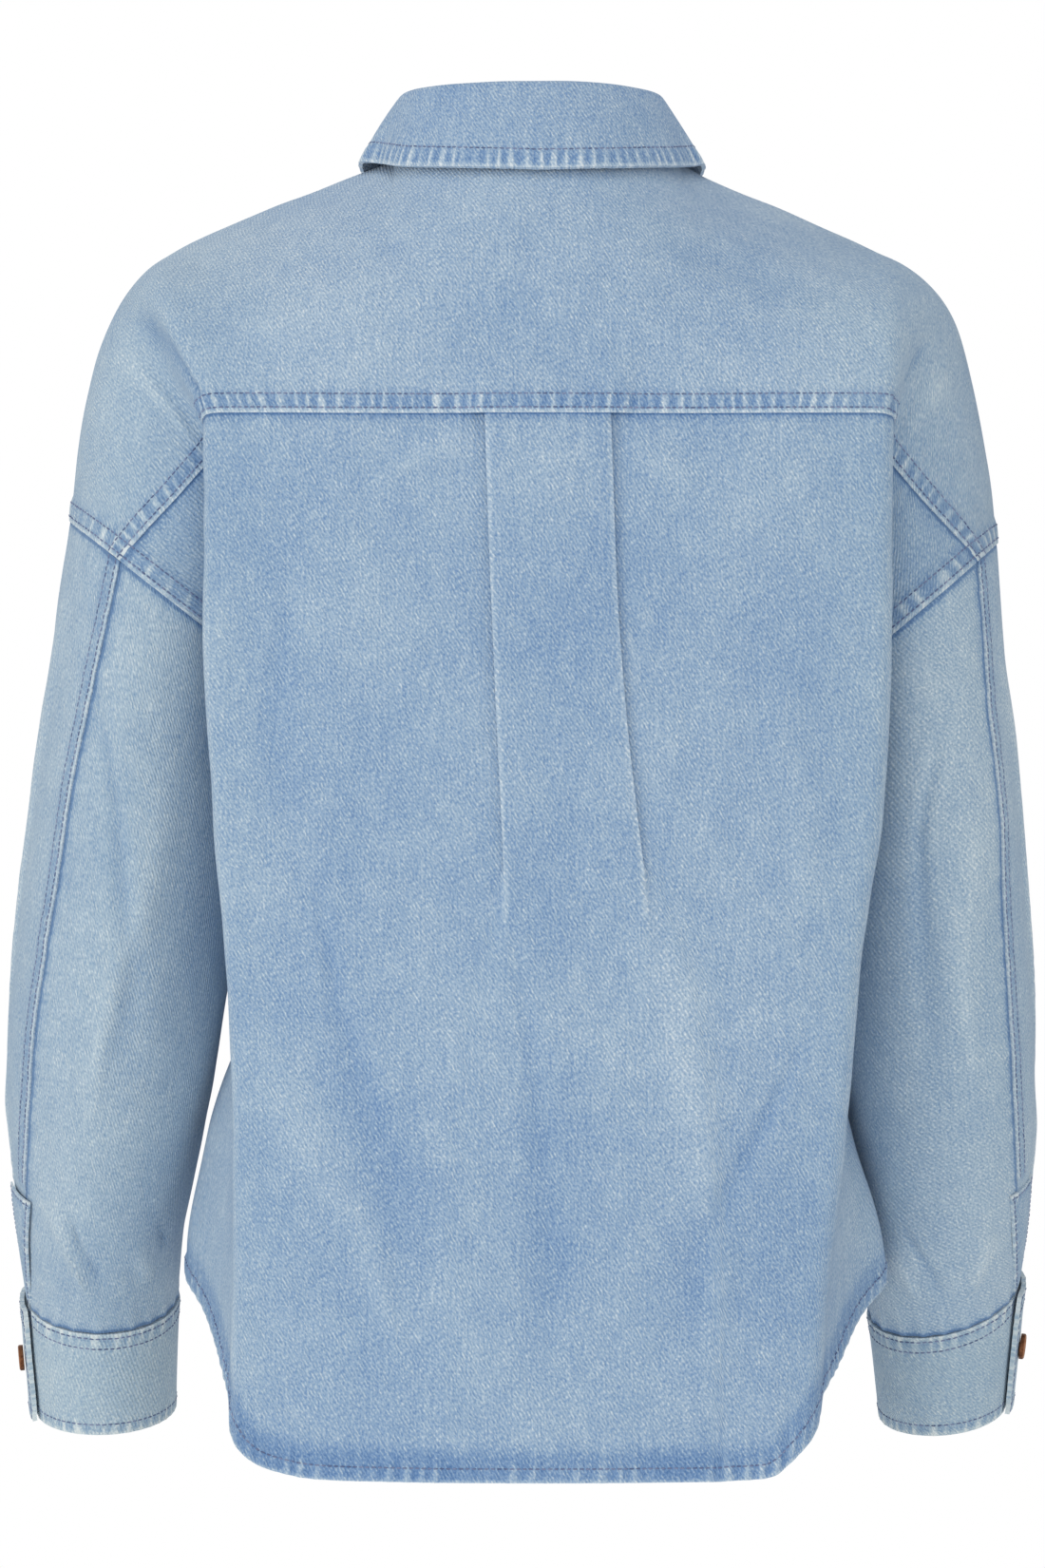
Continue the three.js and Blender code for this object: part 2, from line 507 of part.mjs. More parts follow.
for (const [, side] of bothSides) {
  const heights = [
    ...steps(YOKE_SEAM_Z, UNDERARM_ROW_Z, UPPER_ROWS), ...heightsDown(UNDERARM_ROW_Z, side.hem.centre),
  ];
  const rows = heights.map((slabZ) => {
    const guides = backGuides(side, slabZ);
    const pleat = pleatGuides(side, slabZ);
    pleat.forEach((p) => (p.y += mix(guides[0].y, guides[5].y, (p.x / guides[5].x) ** 2)));
    return [...steps(0, pleat.length - 1, pleat.length - 1).map((u) => spline(pleat, u)),
      ...COLUMNS.slice(1).map((c) => spline(guides, NECK_GUIDE + c))];
  });
  const hem = (j, i, lastRow) => (j >= lastRow - 1 ? LAP : 0);
  const folds = (i) => SLIT + (i > rows[0].length - 15 ? 0.7 : 0);
  panel(back, side, rows, ["top", "outer"], side.sign < 0, hem, folds, sideSeam(UPPER_ROWS));
}
shirt.add(back.mesh("back", CLOTH, DENIM));

// Fronts: the wearer's right laps over the left, and each has a band along its edge
const BAND_COLUMNS = [0, 0.92, 1, 1.7, 2.4];
for (const [name, side] of bothSides) {
  const across = [...BAND_COLUMNS, ...COLUMNS.map((c) => FRONT_NECK_GUIDE + c)];
  const heights = [
    ...steps(CHEST_Z, UNDERARM_ROW_Z, CHEST_ROWS), ...heightsDown(UNDERARM_ROW_Z, side.hem.frontCentre),
  ];
  const rows = [
    ...steps(0, 1, FRONT_UPPER_ROWS).slice(0, -1)
      .map((share) => across.map((g) => frontUpperPoint(side, g, share))),
    ...heights.map((z) => across.map((g) => spline(frontGuides(side, z), g))),
  ];
  const cloth = new Cloth();
  const raised = (j, i, lastRow) => (j >= lastRow - 1 || (side.sign < 0 && i < 2) ? LAP : 0);
  const seamRows = sideSeam(FRONT_UPPER_ROWS + CHEST_ROWS);
  panel(cloth, side, rows, ["top", "outer"], side.sign > 0, raised, undefined, seamRows);
  shirt.add(cloth.mesh("front_" + name, CLOTH, DENIM));
}

// Sleeves: an outer piece that laps over an under piece at the back seam
const SLEEVE_SHARES = [0, 0.06, 0.13, 0.22, 0.33, 0.44, 0.55, 0.66, 0.77, 0.86, 0.94, 1];
const armholeStops = (side) => [
  ...steps(side.sleeve[0].seam, 0, YOKE_ROWS),
  ...steps(0, FRONT_LEG_ANGLE * FRONT_YOKE_SHARE, WING_ROWS).slice(1),
  ...steps(FRONT_LEG_ANGLE * FRONT_YOKE_SHARE, FRONT_LEG_ANGLE, FRONT_UPPER_ROWS).slice(1),
  ...steps(FRONT_LEG_ANGLE, -180, CHEST_ROWS).slice(1),
];
const sleeveTable = (side) => side.sleeve.map((row, k) => ({ ...row, share: k / (side.sleeve.length - 1) }));
function sleeveSkin(side, share, degrees, outward = 0) {
  const p = sleevePoint(side, share, degrees);
  const centre = between(sleevePoint(side, share, 0), sleevePoint(side, share, 180), 0.5);
  const under = ease((Math.abs(degrees) - 85) / 80) * (1 - clamp01(share / 0.13));
  return drawn(p, centre, 2.3 * under - outward);
}
for (const [name, side] of bothSides) {
  const table = sleeveTable(side);
  const seam = (share) => read(table, "seam", share, "share");
  const squeeze = (degrees, share) => (degrees > 0 ? (degrees * seam(share)) / side.sleeve[0].seam : degrees);
  const outer = SLEEVE_SHARES.map((share) => armholeStops(side)
    .map((angle) => sleeveSkin(side, share, squeeze(angle, share))));
  const under = SLEEVE_SHARES.map((share) => steps(180, seam(share), UPPER_ROWS)
    .map((angle) => sleeveSkin(side, share, angle)));
  const clear = (rows) => drawEdges(rows, ["top", "bottom", "outer"], () => 0.7)
    .map((row, j) => [drawn(row[0], rows[j][1], 0.2), ...row.slice(1)]);
  const lap = (j, i) => (i === 0 && SLEEVE_SHARES[j] < 0.7 ? LAP : 0);
  const outerCloth = new Cloth();
  const underCloth = new Cloth();
  outerCloth.grid(clear(outer).map((row) => row.map((p) => mirrored(side, p))), side.sign < 0, lap);
  underCloth.grid(clear(under).map((row) => row.map((p) => mirrored(side, p))), side.sign < 0);
  shirt.add(outerCloth.mesh(`sleeve_${name}_outer`, CLOTH, DENIM));
  shirt.add(underCloth.mesh(`sleeve_${name}_under`, CLOTH, DENIM));

  // Placket strip over the slit, from the end of the seam's topstitching to the cuff
  const strip = new Cloth();
  const stripRows = steps(0.74, 0.985, 5)
    .map((share) => steps(seam(share) - 24, seam(share) + 8, 4).map((a) => sleeveSkin(side, share, a, 1.8)));
  strip.grid(stripRows.map((row) => row.map((p) => mirrored(side, p))), side.sign > 0);
  shirt.add(strip.mesh("placket_" + name, CLOTH, DENIM));

  // Cuff: a band that passes over its own end, where the button holds it
  const [top, bottom] = [side.sleeve[side.sleeve.length - 1], side.cuff];
  const ring = (row, degrees, outward) => {
    const [slope, lean] = [radians(row.slope), radians(row.lean)];
    const reach = (half) => half + outward;
    return point(row.x, row.y, row.z)
      .addScaledVector(point(Math.cos(slope), 0, Math.sin(slope)), reach(row.half) * Math.cos(radians(degrees)))
      .addScaledVector(point(0, Math.cos(lean), -Math.sin(lean)), reach(row.depth) * Math.sin(radians(degrees)));
  };
  const start = top.seam + 8;
  const turns = steps(start, start - 388, 30);
  const standOff = (degrees) => 4.2 * (1 - ease((start - degrees - 26) / 40));
  const inset = 0.6 / CUFF_HEIGHT;
  const cuffRows = [inset, 0.2, 0.55, 0.85, 1].map((t) => turns.map((degrees) => between(
    ring(top, degrees, standOff(degrees) + 0.4), ring(bottom, degrees, standOff(degrees) + 0.4), t)));
  const cuff = new Cloth();
  cuff.grid(cuffRows.map((row) => row.map((p) => mirrored(side, p))), side.sign < 0);
  shirt.add(cuff.mesh("cuff_" + name, DOUBLE, DENIM));
  const onCuff = (degrees, t) => mirrored(side, between(
    ring(top, degrees, standOff(degrees) + 0.4), ring(bottom, degrees, standOff(degrees) + 0.4), t));
  const press = start - 15;
  button("button_cuff_" + name, ...seat(
    onCuff(press, 0.5), onCuff(press - side.sign * 2, 0.5), onCuff(press, 0.6), DOUBLE / 2 + 0.4));
}

// Neck seam, from the centre back round to the lapped front, and the body beneath the collar's edge
const FRONT_NECK_STOPS = [2.6, 2, 1.4, 0.75, 0];
function neckCurve(side) {
  return [
    ...steps(0, 1, 5).slice(0, -1).map(backNeck),
    ...steps(0, FRONT_YOKE_SHARE, 3).map((share) => frontTopPoint(side, FRONT_NECK_GUIDE, share)),
    ...FRONT_NECK_STOPS.map((g) => frontUpperPoint(side, g, 0)),
  ];
}
const neckCentre = point(0, -14, 0);
const away = (p) => point(p.x - neckCentre.x, p.y - neckCentre.y, 0).normalize();
function standTop(p, along) {
  const lean = mix(SIDES.right.neckLean, SIDES.left.neckLean, ease((p.x + 60) / 120));
  return p.clone().addScaledVector(away(p), -lean + 4 * along).add(point(0, 0, mix(STAND_HEIGHT, 25, along)));
}

const loops = bothSides.map(([, side]) => neckCurve(side).map((p) => mirrored(side, p)));
const whole = [...loops[0].slice().reverse(), ...loops[1].slice(1)];
const alongNeck = (k) => ease(Math.abs(k - (loops[0].length - 1)) / (loops[0].length - 1));
const stand = new Cloth();
const standBottom = whole.map((p, k) => {
  const along = whole[Math.min(k + 1, whole.length - 1)].clone().sub(whole[Math.max(k - 1, 0)]).normalize();
  const up = point(0, 0, 1).addScaledVector(along, -along.z).normalize();
  return p.clone().addScaledVector(away(p), -1.1).addScaledVector(up, 2.2);
});
stand.grid([0, 0.5, 1].map((t) => whole
  .map((p, k) => between(standBottom[k], standTop(p, alongNeck(k)), t))), false);
shirt.add(stand.mesh("collar_stand", DOUBLE, DENIM));

// Collar: it turns over the stand's top edge and falls to a line that it shares with the body, just clear of it
function outwardOf(surface, g, share) {
  const [du, dv] = [0.02, 0.01];
  const across = surface(g + du, share).sub(surface(g - du, share));
  const down = surface(g, share + dv).sub(surface(g, share - dv));
  return down.cross(across).normalize();
}
function collarEdge(side) {
  const behind = (g, share) => backYokePoint(side, g, share);
  const before = (g, share) => frontTopPoint(side, g, share);
  const chest = (g, share) => frontUpperPoint(side, g, share);
  const lifted = (surface, g, share, flip, lift) => surface(g, share)
    .addScaledVector(outwardOf(surface, g, share), flip * lift);
  const rest = [
    lifted(behind, 0, 0.175, -1, 4), lifted(behind, 0.5, 0.17, -1, 4), lifted(behind, 1, 0.15, -1, 4),
    lifted(behind, 1.6, 0.12, -1, 4.5), lifted(behind, 2.15, 0.07, -1, 5), lifted(behind, 2.4, 0, -1, 5.5),
    lifted(before, 3.42, 0.1, 1, 5.5), lifted(before, 3.38, 0.2, 1, 5), lifted(before, 3.25, 0.32, 1, 5),
    lifted(before, 3.1, 0.44, 1, 5), lifted(chest, 2.7, 0.44, 1, 5), lifted(chest, 2.2, 0.5, 1, 5),
  ];
  rest[0].x = 0;
  return rest;
}
const FALL = [
  { up: 2.2, out: 0, down: 0 }, { up: 4.4, out: 0.6, down: 0 }, { up: 5.6, out: 3, down: 0 },
  { up: 4.4, out: 5.4, down: 0 }, { up: 0, out: 0, down: 0.3 }, { up: 0, out: 0, down: 0.65 },
  { up: 0, out: 0, down: 1 },
];
const collar = new Cloth();
for (const [, side] of bothSides) {
  const edge = collarEdge(side);
  const neck = [
    ...steps(0, 1, 5).map(backNeck), ...steps(0, FRONT_YOKE_SHARE, 3).slice(1)
      .map((share) => frontTopPoint(side, FRONT_NECK_GUIDE, share)),
    ...[2.45, 1.85, 1.25].map((g) => frontUpperPoint(SIDES.right, g, 0)),
  ];
  const columns = neck.map((q, k) => {
    const p = mirrored(side, q);
    const top = standTop(p, ease(k / (neck.length - 1)));
    const fold = top.clone().addScaledVector(away(p), 5.4).add(point(0, 0, 4.4));
    return FALL.map(({ up, out, down }) => (down > 0
      ? between(fold, mirrored(side, edge[k]), down).addScaledVector(away(p), 6 * down * (1 - down))
      : top.clone().addScaledVector(away(p), out).add(point(0, 0, up))));
  });
  const rows = FALL.map((_, j) => columns.map((column) => column[j]));
  collar.grid(rows, side.sign < 0);
}
shirt.add(collar.mesh("collar", DOUBLE, DENIM));

// Buttons: turned discs with a raised rim
function button(name, centre, outward) {
  const r = BUTTON_RADIUS;
  const profile = [[0, 0], [r * 0.8, 0], [r, 1], [r, 2.2], [r * 0.86, 3], [r * 0.7, 2.4], [0, 2.4]];
  const geometry = new THREE.LatheGeometry(profile.map(([x, y]) => new THREE.Vector2(x, y)), 14);
  const turn = new THREE.Quaternion().setFromUnitVectors(point(0, 1, 0), outward.clone().normalize());
  geometry.applyQuaternion(turn);
  geometry.translate(centre.x, centre.y, centre.z);
  shirt.add(named(name, geometry, COPPER, 0.8));
}
// A seat on a surface, given three of its points: the place, and the way out of the cloth there
function seat(place, across, down, lift) {
  const outward = across.clone().sub(place).cross(down.clone().sub(place)).normalize();
  return [place.clone().addScaledVector(outward, lift), outward];
}
const BUTTON_LIFT = CLOTH / 2 + LAP + 0.4;
const FIRST_BUTTON_Z = -108;
const BUTTON_PITCH = 81;
const centreGuide = 0.454; // the guide that lies on the centre line
for (let k = 0; k < 7; k++) {
  const z = FIRST_BUTTON_Z - k * BUTTON_PITCH;
  const neckZ = frontUpperPoint(SIDES.right, centreGuide, 0).z;
  const skin = (guide, height) => mirrored(SIDES.right, height > CHEST_Z
    ? frontUpperPoint(SIDES.right, guide, (neckZ - height) / (neckZ - CHEST_Z))
    : spline(frontGuides(SIDES.right, height), guide));
  const [place, outward] = seat(
    skin(centreGuide, z), skin(centreGuide - 0.1, z), skin(centreGuide, z + 2), BUTTON_LIFT);
  button(`button_front_${k + 1}`, place, outward);
}
const midStand = (x) => {
  const p = mirrored(SIDES.right, frontUpperPoint(SIDES.right, centreGuide + x / 36, 0));
  return (t) => between(p.clone().addScaledVector(away(p), -1.1).add(point(0, 0, 2.2)), standTop(p, 1), t);
};
button("button_collar", ...seat(midStand(0)(0.45), midStand(-3)(0.45), midStand(0)(0.6), DOUBLE / 2 + 0.5));

export default shirt;
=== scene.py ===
# %% [markdown]
# # A worn denim shirt, seen from behind
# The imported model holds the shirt's solids at their real size. This lesson dresses them: every panel is
# made again as a fine sheet of cloth on the same form, then gets its creases, laps, puckers, stitches and
# the light-wash denim itself. The frame is loaded first, because each piece has to lie where its solid
# lies.

# %% Load the frame
import math
import bpy
import numpy as np
from mathutils import Matrix, Vector, noise


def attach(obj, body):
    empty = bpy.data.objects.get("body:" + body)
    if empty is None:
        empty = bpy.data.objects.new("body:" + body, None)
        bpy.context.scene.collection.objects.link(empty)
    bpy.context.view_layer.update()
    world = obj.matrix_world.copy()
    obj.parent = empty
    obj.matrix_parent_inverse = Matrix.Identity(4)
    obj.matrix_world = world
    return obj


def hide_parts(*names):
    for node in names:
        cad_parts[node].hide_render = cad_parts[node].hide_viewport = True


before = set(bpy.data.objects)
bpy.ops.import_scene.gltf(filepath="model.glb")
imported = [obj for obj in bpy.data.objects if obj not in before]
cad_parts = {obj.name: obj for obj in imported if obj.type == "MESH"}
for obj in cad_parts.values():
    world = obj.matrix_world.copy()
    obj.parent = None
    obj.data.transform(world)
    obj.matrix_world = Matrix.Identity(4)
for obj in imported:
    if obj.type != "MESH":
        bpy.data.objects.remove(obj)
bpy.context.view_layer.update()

MM = 0.001
print("solids in the frame:", len(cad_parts))

# %% [markdown]
# ## Camera
# The photo is 1100 x 1650 and looks level at the back of the shirt from about three metres. A long lens
# keeps the cuffs, which hang a little in front of the body, as small as they are in the photo. The camera
# stands on +Y.

# %% Camera
CAMERA_PLACE = Vector((0.0081, 3.2, -0.324))
VIEW_HEIGHT = 0.838  # height of what the picture holds, measured at the shirt

bpy.ops.object.select_all(action="DESELECT")
bpy.ops.object.camera_add(location=CAMERA_PLACE, rotation=(math.radians(90), 0, math.radians(180)))
camera = bpy.context.object
camera.name = "camera"
camera.data.sensor_width = 36
camera.data.lens = camera.data.sensor_width * CAMERA_PLACE.y / VIEW_HEIGHT
camera.data.clip_end = 60
bpy.context.scene.camera = camera
print("lens in mm:", round(camera.data.lens, 1))

# %% [markdown]
# ## Small helpers for shapes
# The shirt's form comes from short tables of widths and depths at a few heights. A table is read between
# its rows by a curve that never overshoots them, and a row of the body is a B-spline through guide
# points. Everything is worked out on whole arrays of points, so that fine sheets of cloth cost only
# seconds.

# %% Reading tables and drawing curves
class Table:
    """Rows with named columns; the first column is what the others are read by."""

    def __init__(self, names, *rows):
        values = np.array(rows, float)
        values = values[np.argsort(values[:, 0])]
        self.x = values[:, 0]
        self.columns = dict(zip(names.split(), values.T))

    def __call__(self, name, at):
        x, y = self.x, self.columns[name]
        rise = np.diff(y) / np.diff(x)
        before, after = rise[:-1], rise[1:]
        total = np.where(before * after > 0, before + after, 1)
        inner = np.where(before * after > 0, 2 * before * after / total, 0)
        slope = np.concatenate([rise[:1], inner, rise[-1:]])
        at = np.clip(at, x[0], x[-1])
        i = np.clip(np.searchsorted(x, at, side="right") - 1, 0, len(x) - 2)
        span = x[i + 1] - x[i]
        t = (at - x[i]) / span
        return ((2 * t**3 - 3 * t**2 + 1) * y[i] + (t**3 - 2 * t**2 + t) * span * slope[i]
                + (3 * t**2 - 2 * t**3) * y[i + 1] + (t**3 - t**2) * span * slope[i + 1])


def mix(a, b, t):
    return a + (b - a) * t


def ease(t):
    t = np.clip(t, 0, 1)
    return t * t * (3 - 2 * t)


def pack(x, y, z):
    return np.stack(np.broadcast_arrays(x, y, z), -1).astype(float)


def unit(v):
    return v / np.maximum(np.linalg.norm(v, axis=-1, keepdims=True), 1e-9)


def spline(guides, u):
    """Points of the cubic B-spline that starts and ends at the first and last guide."""
    ends = np.concatenate([[2 * guides[0] - guides[1]], guides, [2 * guides[-1] - guides[-2]]])
    u = np.asarray(u, float)
    i = np.clip(np.floor(u).astype(int), 0, len(guides) - 2)
    t = (u - i)[..., None]
    return ((1 - t)**3 * ends[i] + (3 * t**3 - 6 * t * t + 4) * ends[i + 1]
            + (-3 * t**3 + 3 * t * t + 3 * t + 1) * ends[i + 2] + t**3 * ends[i + 3]) / 6


def through(stops, u):
    """Points of a smooth curve that passes through every stop."""
    ends = np.concatenate([[2 * stops[0] - stops[1]], stops, [2 * stops[-1] - stops[-2]]])
    u = np.asarray(u, float)
    i = np.clip(np.floor(u).astype(int), 0, len(stops) - 2)
    t = (u - i).reshape(u.shape + (1,) * (ends.ndim - 1))
    a, b, c, d = ends[i], ends[i + 1], ends[i + 2], ends[i + 3]
    return b + 0.5 * t * (c - a + t * (2 * a - 5 * b + 4 * c - d + t * (3 * (b - c) + d - a)))


def bezier(a, b, c, d, t):
    s = 1 - t
    return s**3 * a + 3 * s * s * t * b + 3 * s * t * t * c + t**3 * d


def arcs(points, axis):
    """Length along each line of a grid of points, from its first point."""
    step = np.linalg.norm(np.diff(points, axis=axis), axis=-1)
    return np.concatenate([np.zeros_like(step.take([0], axis)), np.cumsum(step, axis)], axis)


FINE_EDGE = np.array([0, 0.9, 2.2, 4, 6.4, 9.4, 12.6])  # places of the points near a stitched edge


def evenly(curve, start, end, spacing, fine=""):
    """Values from start to end that space a curve's points evenly, closer at the ends named in fine."""
    dense = np.linspace(start, end, 1600)
    arc = arcs(curve(dense), 0)
    low = FINE_EDGE if "start" in fine else np.zeros(1)
    high = arc[-1] - FINE_EDGE[::-1] if "end" in fine else arc[-1:]
    count = max(1, round((high[0] - low[-1]) / spacing))
    middle = np.linspace(low[-1], high[0], count + 1)[1:-1]
    return np.interp(np.concatenate([low, middle, high]), arc, dense)


# %% [markdown]
# ## The sizes of the shirt
# These are the driving sizes of the model's form, in millimetres: for the wearer's left and right side,
# how wide and deep the back is at each height, the ridge of the shoulder, and the sleeve's oval rings
# from armhole to cuff.

# %% Driving sizes
CLOTH = 1.2  # one layer of denim
DOUBLE = 2.4  # two layers: collar, stand and cuffs
LAP = 1.0  # how far a lapped seam or turned hem stands proud
BAND = 11.5  # width of a lapped seam's double band
YOKE_SEAM_Z = -131
UNDERARM_ROW_Z = -265
CHEST_Z = -150
FRONT_LAP = 15
FRONT_STEP = 3.1
FRONT_YOKE_SHARE = 0.3
NECK_HALF, NECK_BACK = 76, 58
NECK_SIDE_Y, NECK_SIDE_Z = -8, 9.7
STAND_HEIGHT = 31
HEM_BAND = 8

BACK = "z ridge_x ridge_y tuck_x tuck_y bulge side_x side_y"
HEM = "centre slab corner turn tuck seam front_centre"
RING = "share x y z half depth slope lean seam"


class Side:
    def __init__(self, name, sign, neck_lean, back, hem, shoulder, sleeve, cuff):
        self.name, self.sign, self.neck_lean = name, sign, neck_lean
        self.back = Table(BACK, *back)
        self.hem = dict(zip(HEM.split(), hem))
        self.shoulder = np.array([(x, NECK_SIDE_Y, z) for x, z in shoulder], float)
        self.sleeve = Table(RING, *[(k / (len(sleeve) - 1), *row) for k, row in enumerate(sleeve)])
        self.sleeve_end = dict(zip(RING.split()[1:], sleeve[-1]))
        self.cuff = dict(zip(RING.split()[1:], cuff))
        self.seam_angle = sleeve[0][-1]

    def pleat_edge(self, z=YOKE_SEAM_Z):
        return PLEAT("half", z) + self.sign * PLEAT("centre", z)


LEFT = Side(
    "left", 1, 10,
    back=[
        (-134, 174, 103, 167, 64, 9, 150, -8), (-200, 173, 105, 160, 56, 5, 150, -8),
        (-265, 172, 105, 148, 48, 0, 150, -8), (-330, 168.5, 104, 141, 48, 0, 138, -6),
        (-414, 162, 103, 146, 52, 0, 145, -4), (-508, 158, 101, 158, 58, 0, 175, 0),
        (-578, 158, 99, 165, 55, 0, 188, 0), (-690, 160, 96, 168, 55, 0, 190, 0),
    ],
    hem=(-685, -684, -678, -660, -622, -584, -654),
    shoulder=[(76, 9.7), (94.5, 2.6), (135, -13), (186, -34.4), (211, -50), (226.5, -70), (236.7, -98),
              (243, -128), (247.9, -165), (249, -183)],
    sleeve=[
        (199.5, -8, -222.5, 63.3, 75, 38.6, 0, 67.4), (207.5, -10, -290, 57.3, 76, 18, 0, 60),
        (212.3, -12, -345, 57.9, 75, 6, 2, 52), (226, -18, -443, 57.2, 70, 0, 8, 47),
        (232.4, -38, -508, 52, 63, 0, 16, 40), (237, -62, -567, 44, 54, 0, 20, 25),
        (237.5, -81, -604, 40, 45, 1, 22, 16),
    ],
    cuff=(237.5, -100, -668, 36.5, 43, -1, 13, 0),
)
RIGHT = Side(
    "right", -1, 16.5,
    back=[
        (-134, 184, 101, 179, 68, 5, 152, -8), (-200, 183, 104, 169, 57, 4, 152, -8),
        (-265, 182, 105, 154, 48, 0, 152, -8), (-330, 179, 104, 145, 48, 0, 140, -6),
        (-414, 167, 103, 144, 52, 0, 144, -4), (-508, 159, 101, 152, 58, 0, 167, 2),
        (-578, 152, 99, 158, 55, 0, 184, 4), (-690, 140, 96, 158, 55, 0, 187, 4),
    ],
    hem=(-685, -684, -679, -655, -626, -587, -654),
    shoulder=[(76, 9.7), (86.8, 0.6), (113.5, -11.4), (159.5, -29), (200, -46.5), (220.5, -67.5),
              (230.7, -98), (238.3, -133.5), (244, -175), (245, -195)],
    sleeve=[
        (198.5, -8, -235, 61.3, 75, 40.7, 0, 45), (202.6, -10, -298, 51.8, 75, 20, 0, 46),
        (205.3, -12, -350, 52.8, 74, 7, 2, 44), (212, -18, -443, 53, 69, 2, 8, 45),
        (217, -38, -508, 50, 63, 5, 16, 41), (220.2, -62, -567, 45.2, 54, 9, 20, 30),
        (222, -81, -604, 41, 45, 13, 22, 18),
    ],
    cuff=(223, -100, -668, 33.5, 43, 6, 13, 0),
)
SIDES = (LEFT, RIGHT)
CENTRE_BACK = Table("z y", (-134, 108), (-265, 114), (-414, 112), (-690, 107))
FRONT = Table("z centre_y ridge_x ridge_y tuck_x tuck_y", (-150, -112, 158, -98, 163, -76),
              (-265, -120, 158, -100, 150, -62), (-414, -118, 152, -98, 146, -60),
              (-560, -112, 150, -94, 160, -52), (-690, -108, 150, -90, 162, -52))
PLEAT = Table("z centre half under step", (-134, -5, 32, 15, 3.6), (-220, -8, 32, 13, 3.6),
              (-290, -12, 33, 9, 3.5), (-340, -16, 34.5, 5, 3.2), (-380, -19, 36, 0, 2.4),
              (-420, -20, 36, -12, 1.5), (-480, -20, 36, -22, 0.7), (-560, -20, 36, -26, 0),
              (-690, -20, 36, -26, 0))
print("centre back from collar seam to hem in mm:", round(NECK_SIDE_Z - LEFT.hem["centre"]))

# %% [markdown]
# ## The form of the body
# A row of the back runs from the centre line over the flat of the back to its rounded edge, turns in
# behind the arm and ends at the armhole seam or, lower down, at the side seam. The front is built in the
# same way. Above these rows the yoke falls from the shoulder's ridge in curved legs, one for each column
# of the cloth.

# %% Rows of the back and front
ROW_DROP = np.array([0, 0, 0, 0, 0, 0, 0, 0.03, 0.08, 0.12, 0.2, 0.36, 0.58, 0.8, 1])
FRONT_DROP = np.array([0, 0, 0, 0, 0, 0, 0, 0.02, 0.06, 0.12, 0.2, 0.3, 0.42, 0.6, 0.8, 1])
NECK_GUIDE, END_GUIDE = 2, 14
FRONT_NECK_GUIDE, FRONT_END_GUIDE = 3, 15
FRONT_LEG_ANGLE = -80  # where the chest row meets the armhole seam


def sleeve_point(side, share, degrees):
    """A point of a sleeve ring: share 0 is the armhole, 1 the cuff; 0 degrees is outside, 90 the back."""
    row = lambda name: side.sleeve(name, share)
    slope, lean, angle = np.radians(row("slope")), np.radians(row("lean")), np.radians(degrees)
    across, deep = row("half") * np.cos(angle), row("depth") * np.sin(angle)
    return pack(row("x") + across * np.cos(slope), row("y") + deep * np.cos(lean),
                row("z") + across * np.sin(slope) - deep * np.sin(lean))


def hem_heights(side, centre):
    hem = side.hem
    slab, corner, turn, tuck, seam = (hem[k] for k in ("slab", "corner", "turn", "tuck", "seam"))
    lift = centre - hem["centre"]
    return np.array([
        centre, centre, centre, slab + lift, mix(slab, corner, 0.35) + lift, corner + lift,
        mix(corner, turn, 0.5) + lift, turn + lift * 0.8, mix(turn, tuck, 0.4) + lift * 0.7,
        mix(turn, tuck, 0.7) + lift * 0.6, tuck + lift * 0.5, mix(tuck, seam, 0.3) + lift * 0.3,
        mix(tuck, seam, 0.6) + lift * 0.2, mix(tuck, seam, 0.88), seam])


def row_heights(side, slab_z, drop, hem, start_angle, start_z):
    """Heights of a row's guides, how far it is on its way to the hem, and its outer end at the armhole."""
    share = np.clip((start_z - slab_z) / (start_z - UNDERARM_ROW_Z), 0, 1)
    fall = np.clip((UNDERARM_ROW_Z - slab_z) / (UNDERARM_ROW_Z - hem[0]), 0, 1)
    end = sleeve_point(side, 0, mix(start_angle, 180 * np.sign(start_angle), share))
    z = mix(max(slab_z, UNDERARM_ROW_Z), end[2], drop)
    return (mix(z, hem, fall) if fall > 0 else z), fall, end


def beyond_tuck(tuck, outer, t, bulge, fall, z):
    p = mix(tuck, outer, t)
    p[1] += bulge * 4 * t * (1 - t)
    if fall > 0 and t > 0.7:
        p[0] = outer[0] - 0.5
    p[2] = z
    return p


def back_guides(side, slab_z):
    hem = hem_heights(side, side.hem["centre"])
    z, fall, end = row_heights(side, slab_z, ROW_DROP, hem, side.seam_angle, YOKE_SEAM_Z)
    at = {name: side.back(name, z) for name in BACK.split()[1:]}
    centre_y = CENTRE_BACK("y", z)
    outer = [np.array([at["side_x"][k], at["side_y"][k], z[k]]) if fall > 0 else end for k in range(15)]
    tuck = [np.array([at["tuck_x"][k], at["tuck_y"][k], z[k]]) for k in range(15)]
    slab = lambda k, x: np.array([x, mix(centre_y[k], at["ridge_y"][k], (x / at["ridge_x"][k])**2), z[k]])
    ridge = lambda k, dx, dy: np.array([at["ridge_x"][k] + dx, at["ridge_y"][k] + dy, z[k]])
    inward = mix(ridge(9, 0, -16), tuck[9], 0.55)
    inward[2] = z[9]
    wing = [beyond_tuck(tuck[k], outer[k], t, at["bulge"][k], fall, z[k])
            for k, t in ((11, 0.22), (12, 0.5), (13, 0.8))]
    before_ridge = max(at["ridge_x"][4] - 32, 122)
    return np.array([slab(0, 0), slab(1, 42), slab(2, 80), slab(3, 118), slab(4, before_ridge),
                     ridge(5, -14, 1), ridge(6, -3, 0), ridge(7, 1, -6), ridge(8, 0, -16), inward, tuck[10],
                     *wing, outer[14]])


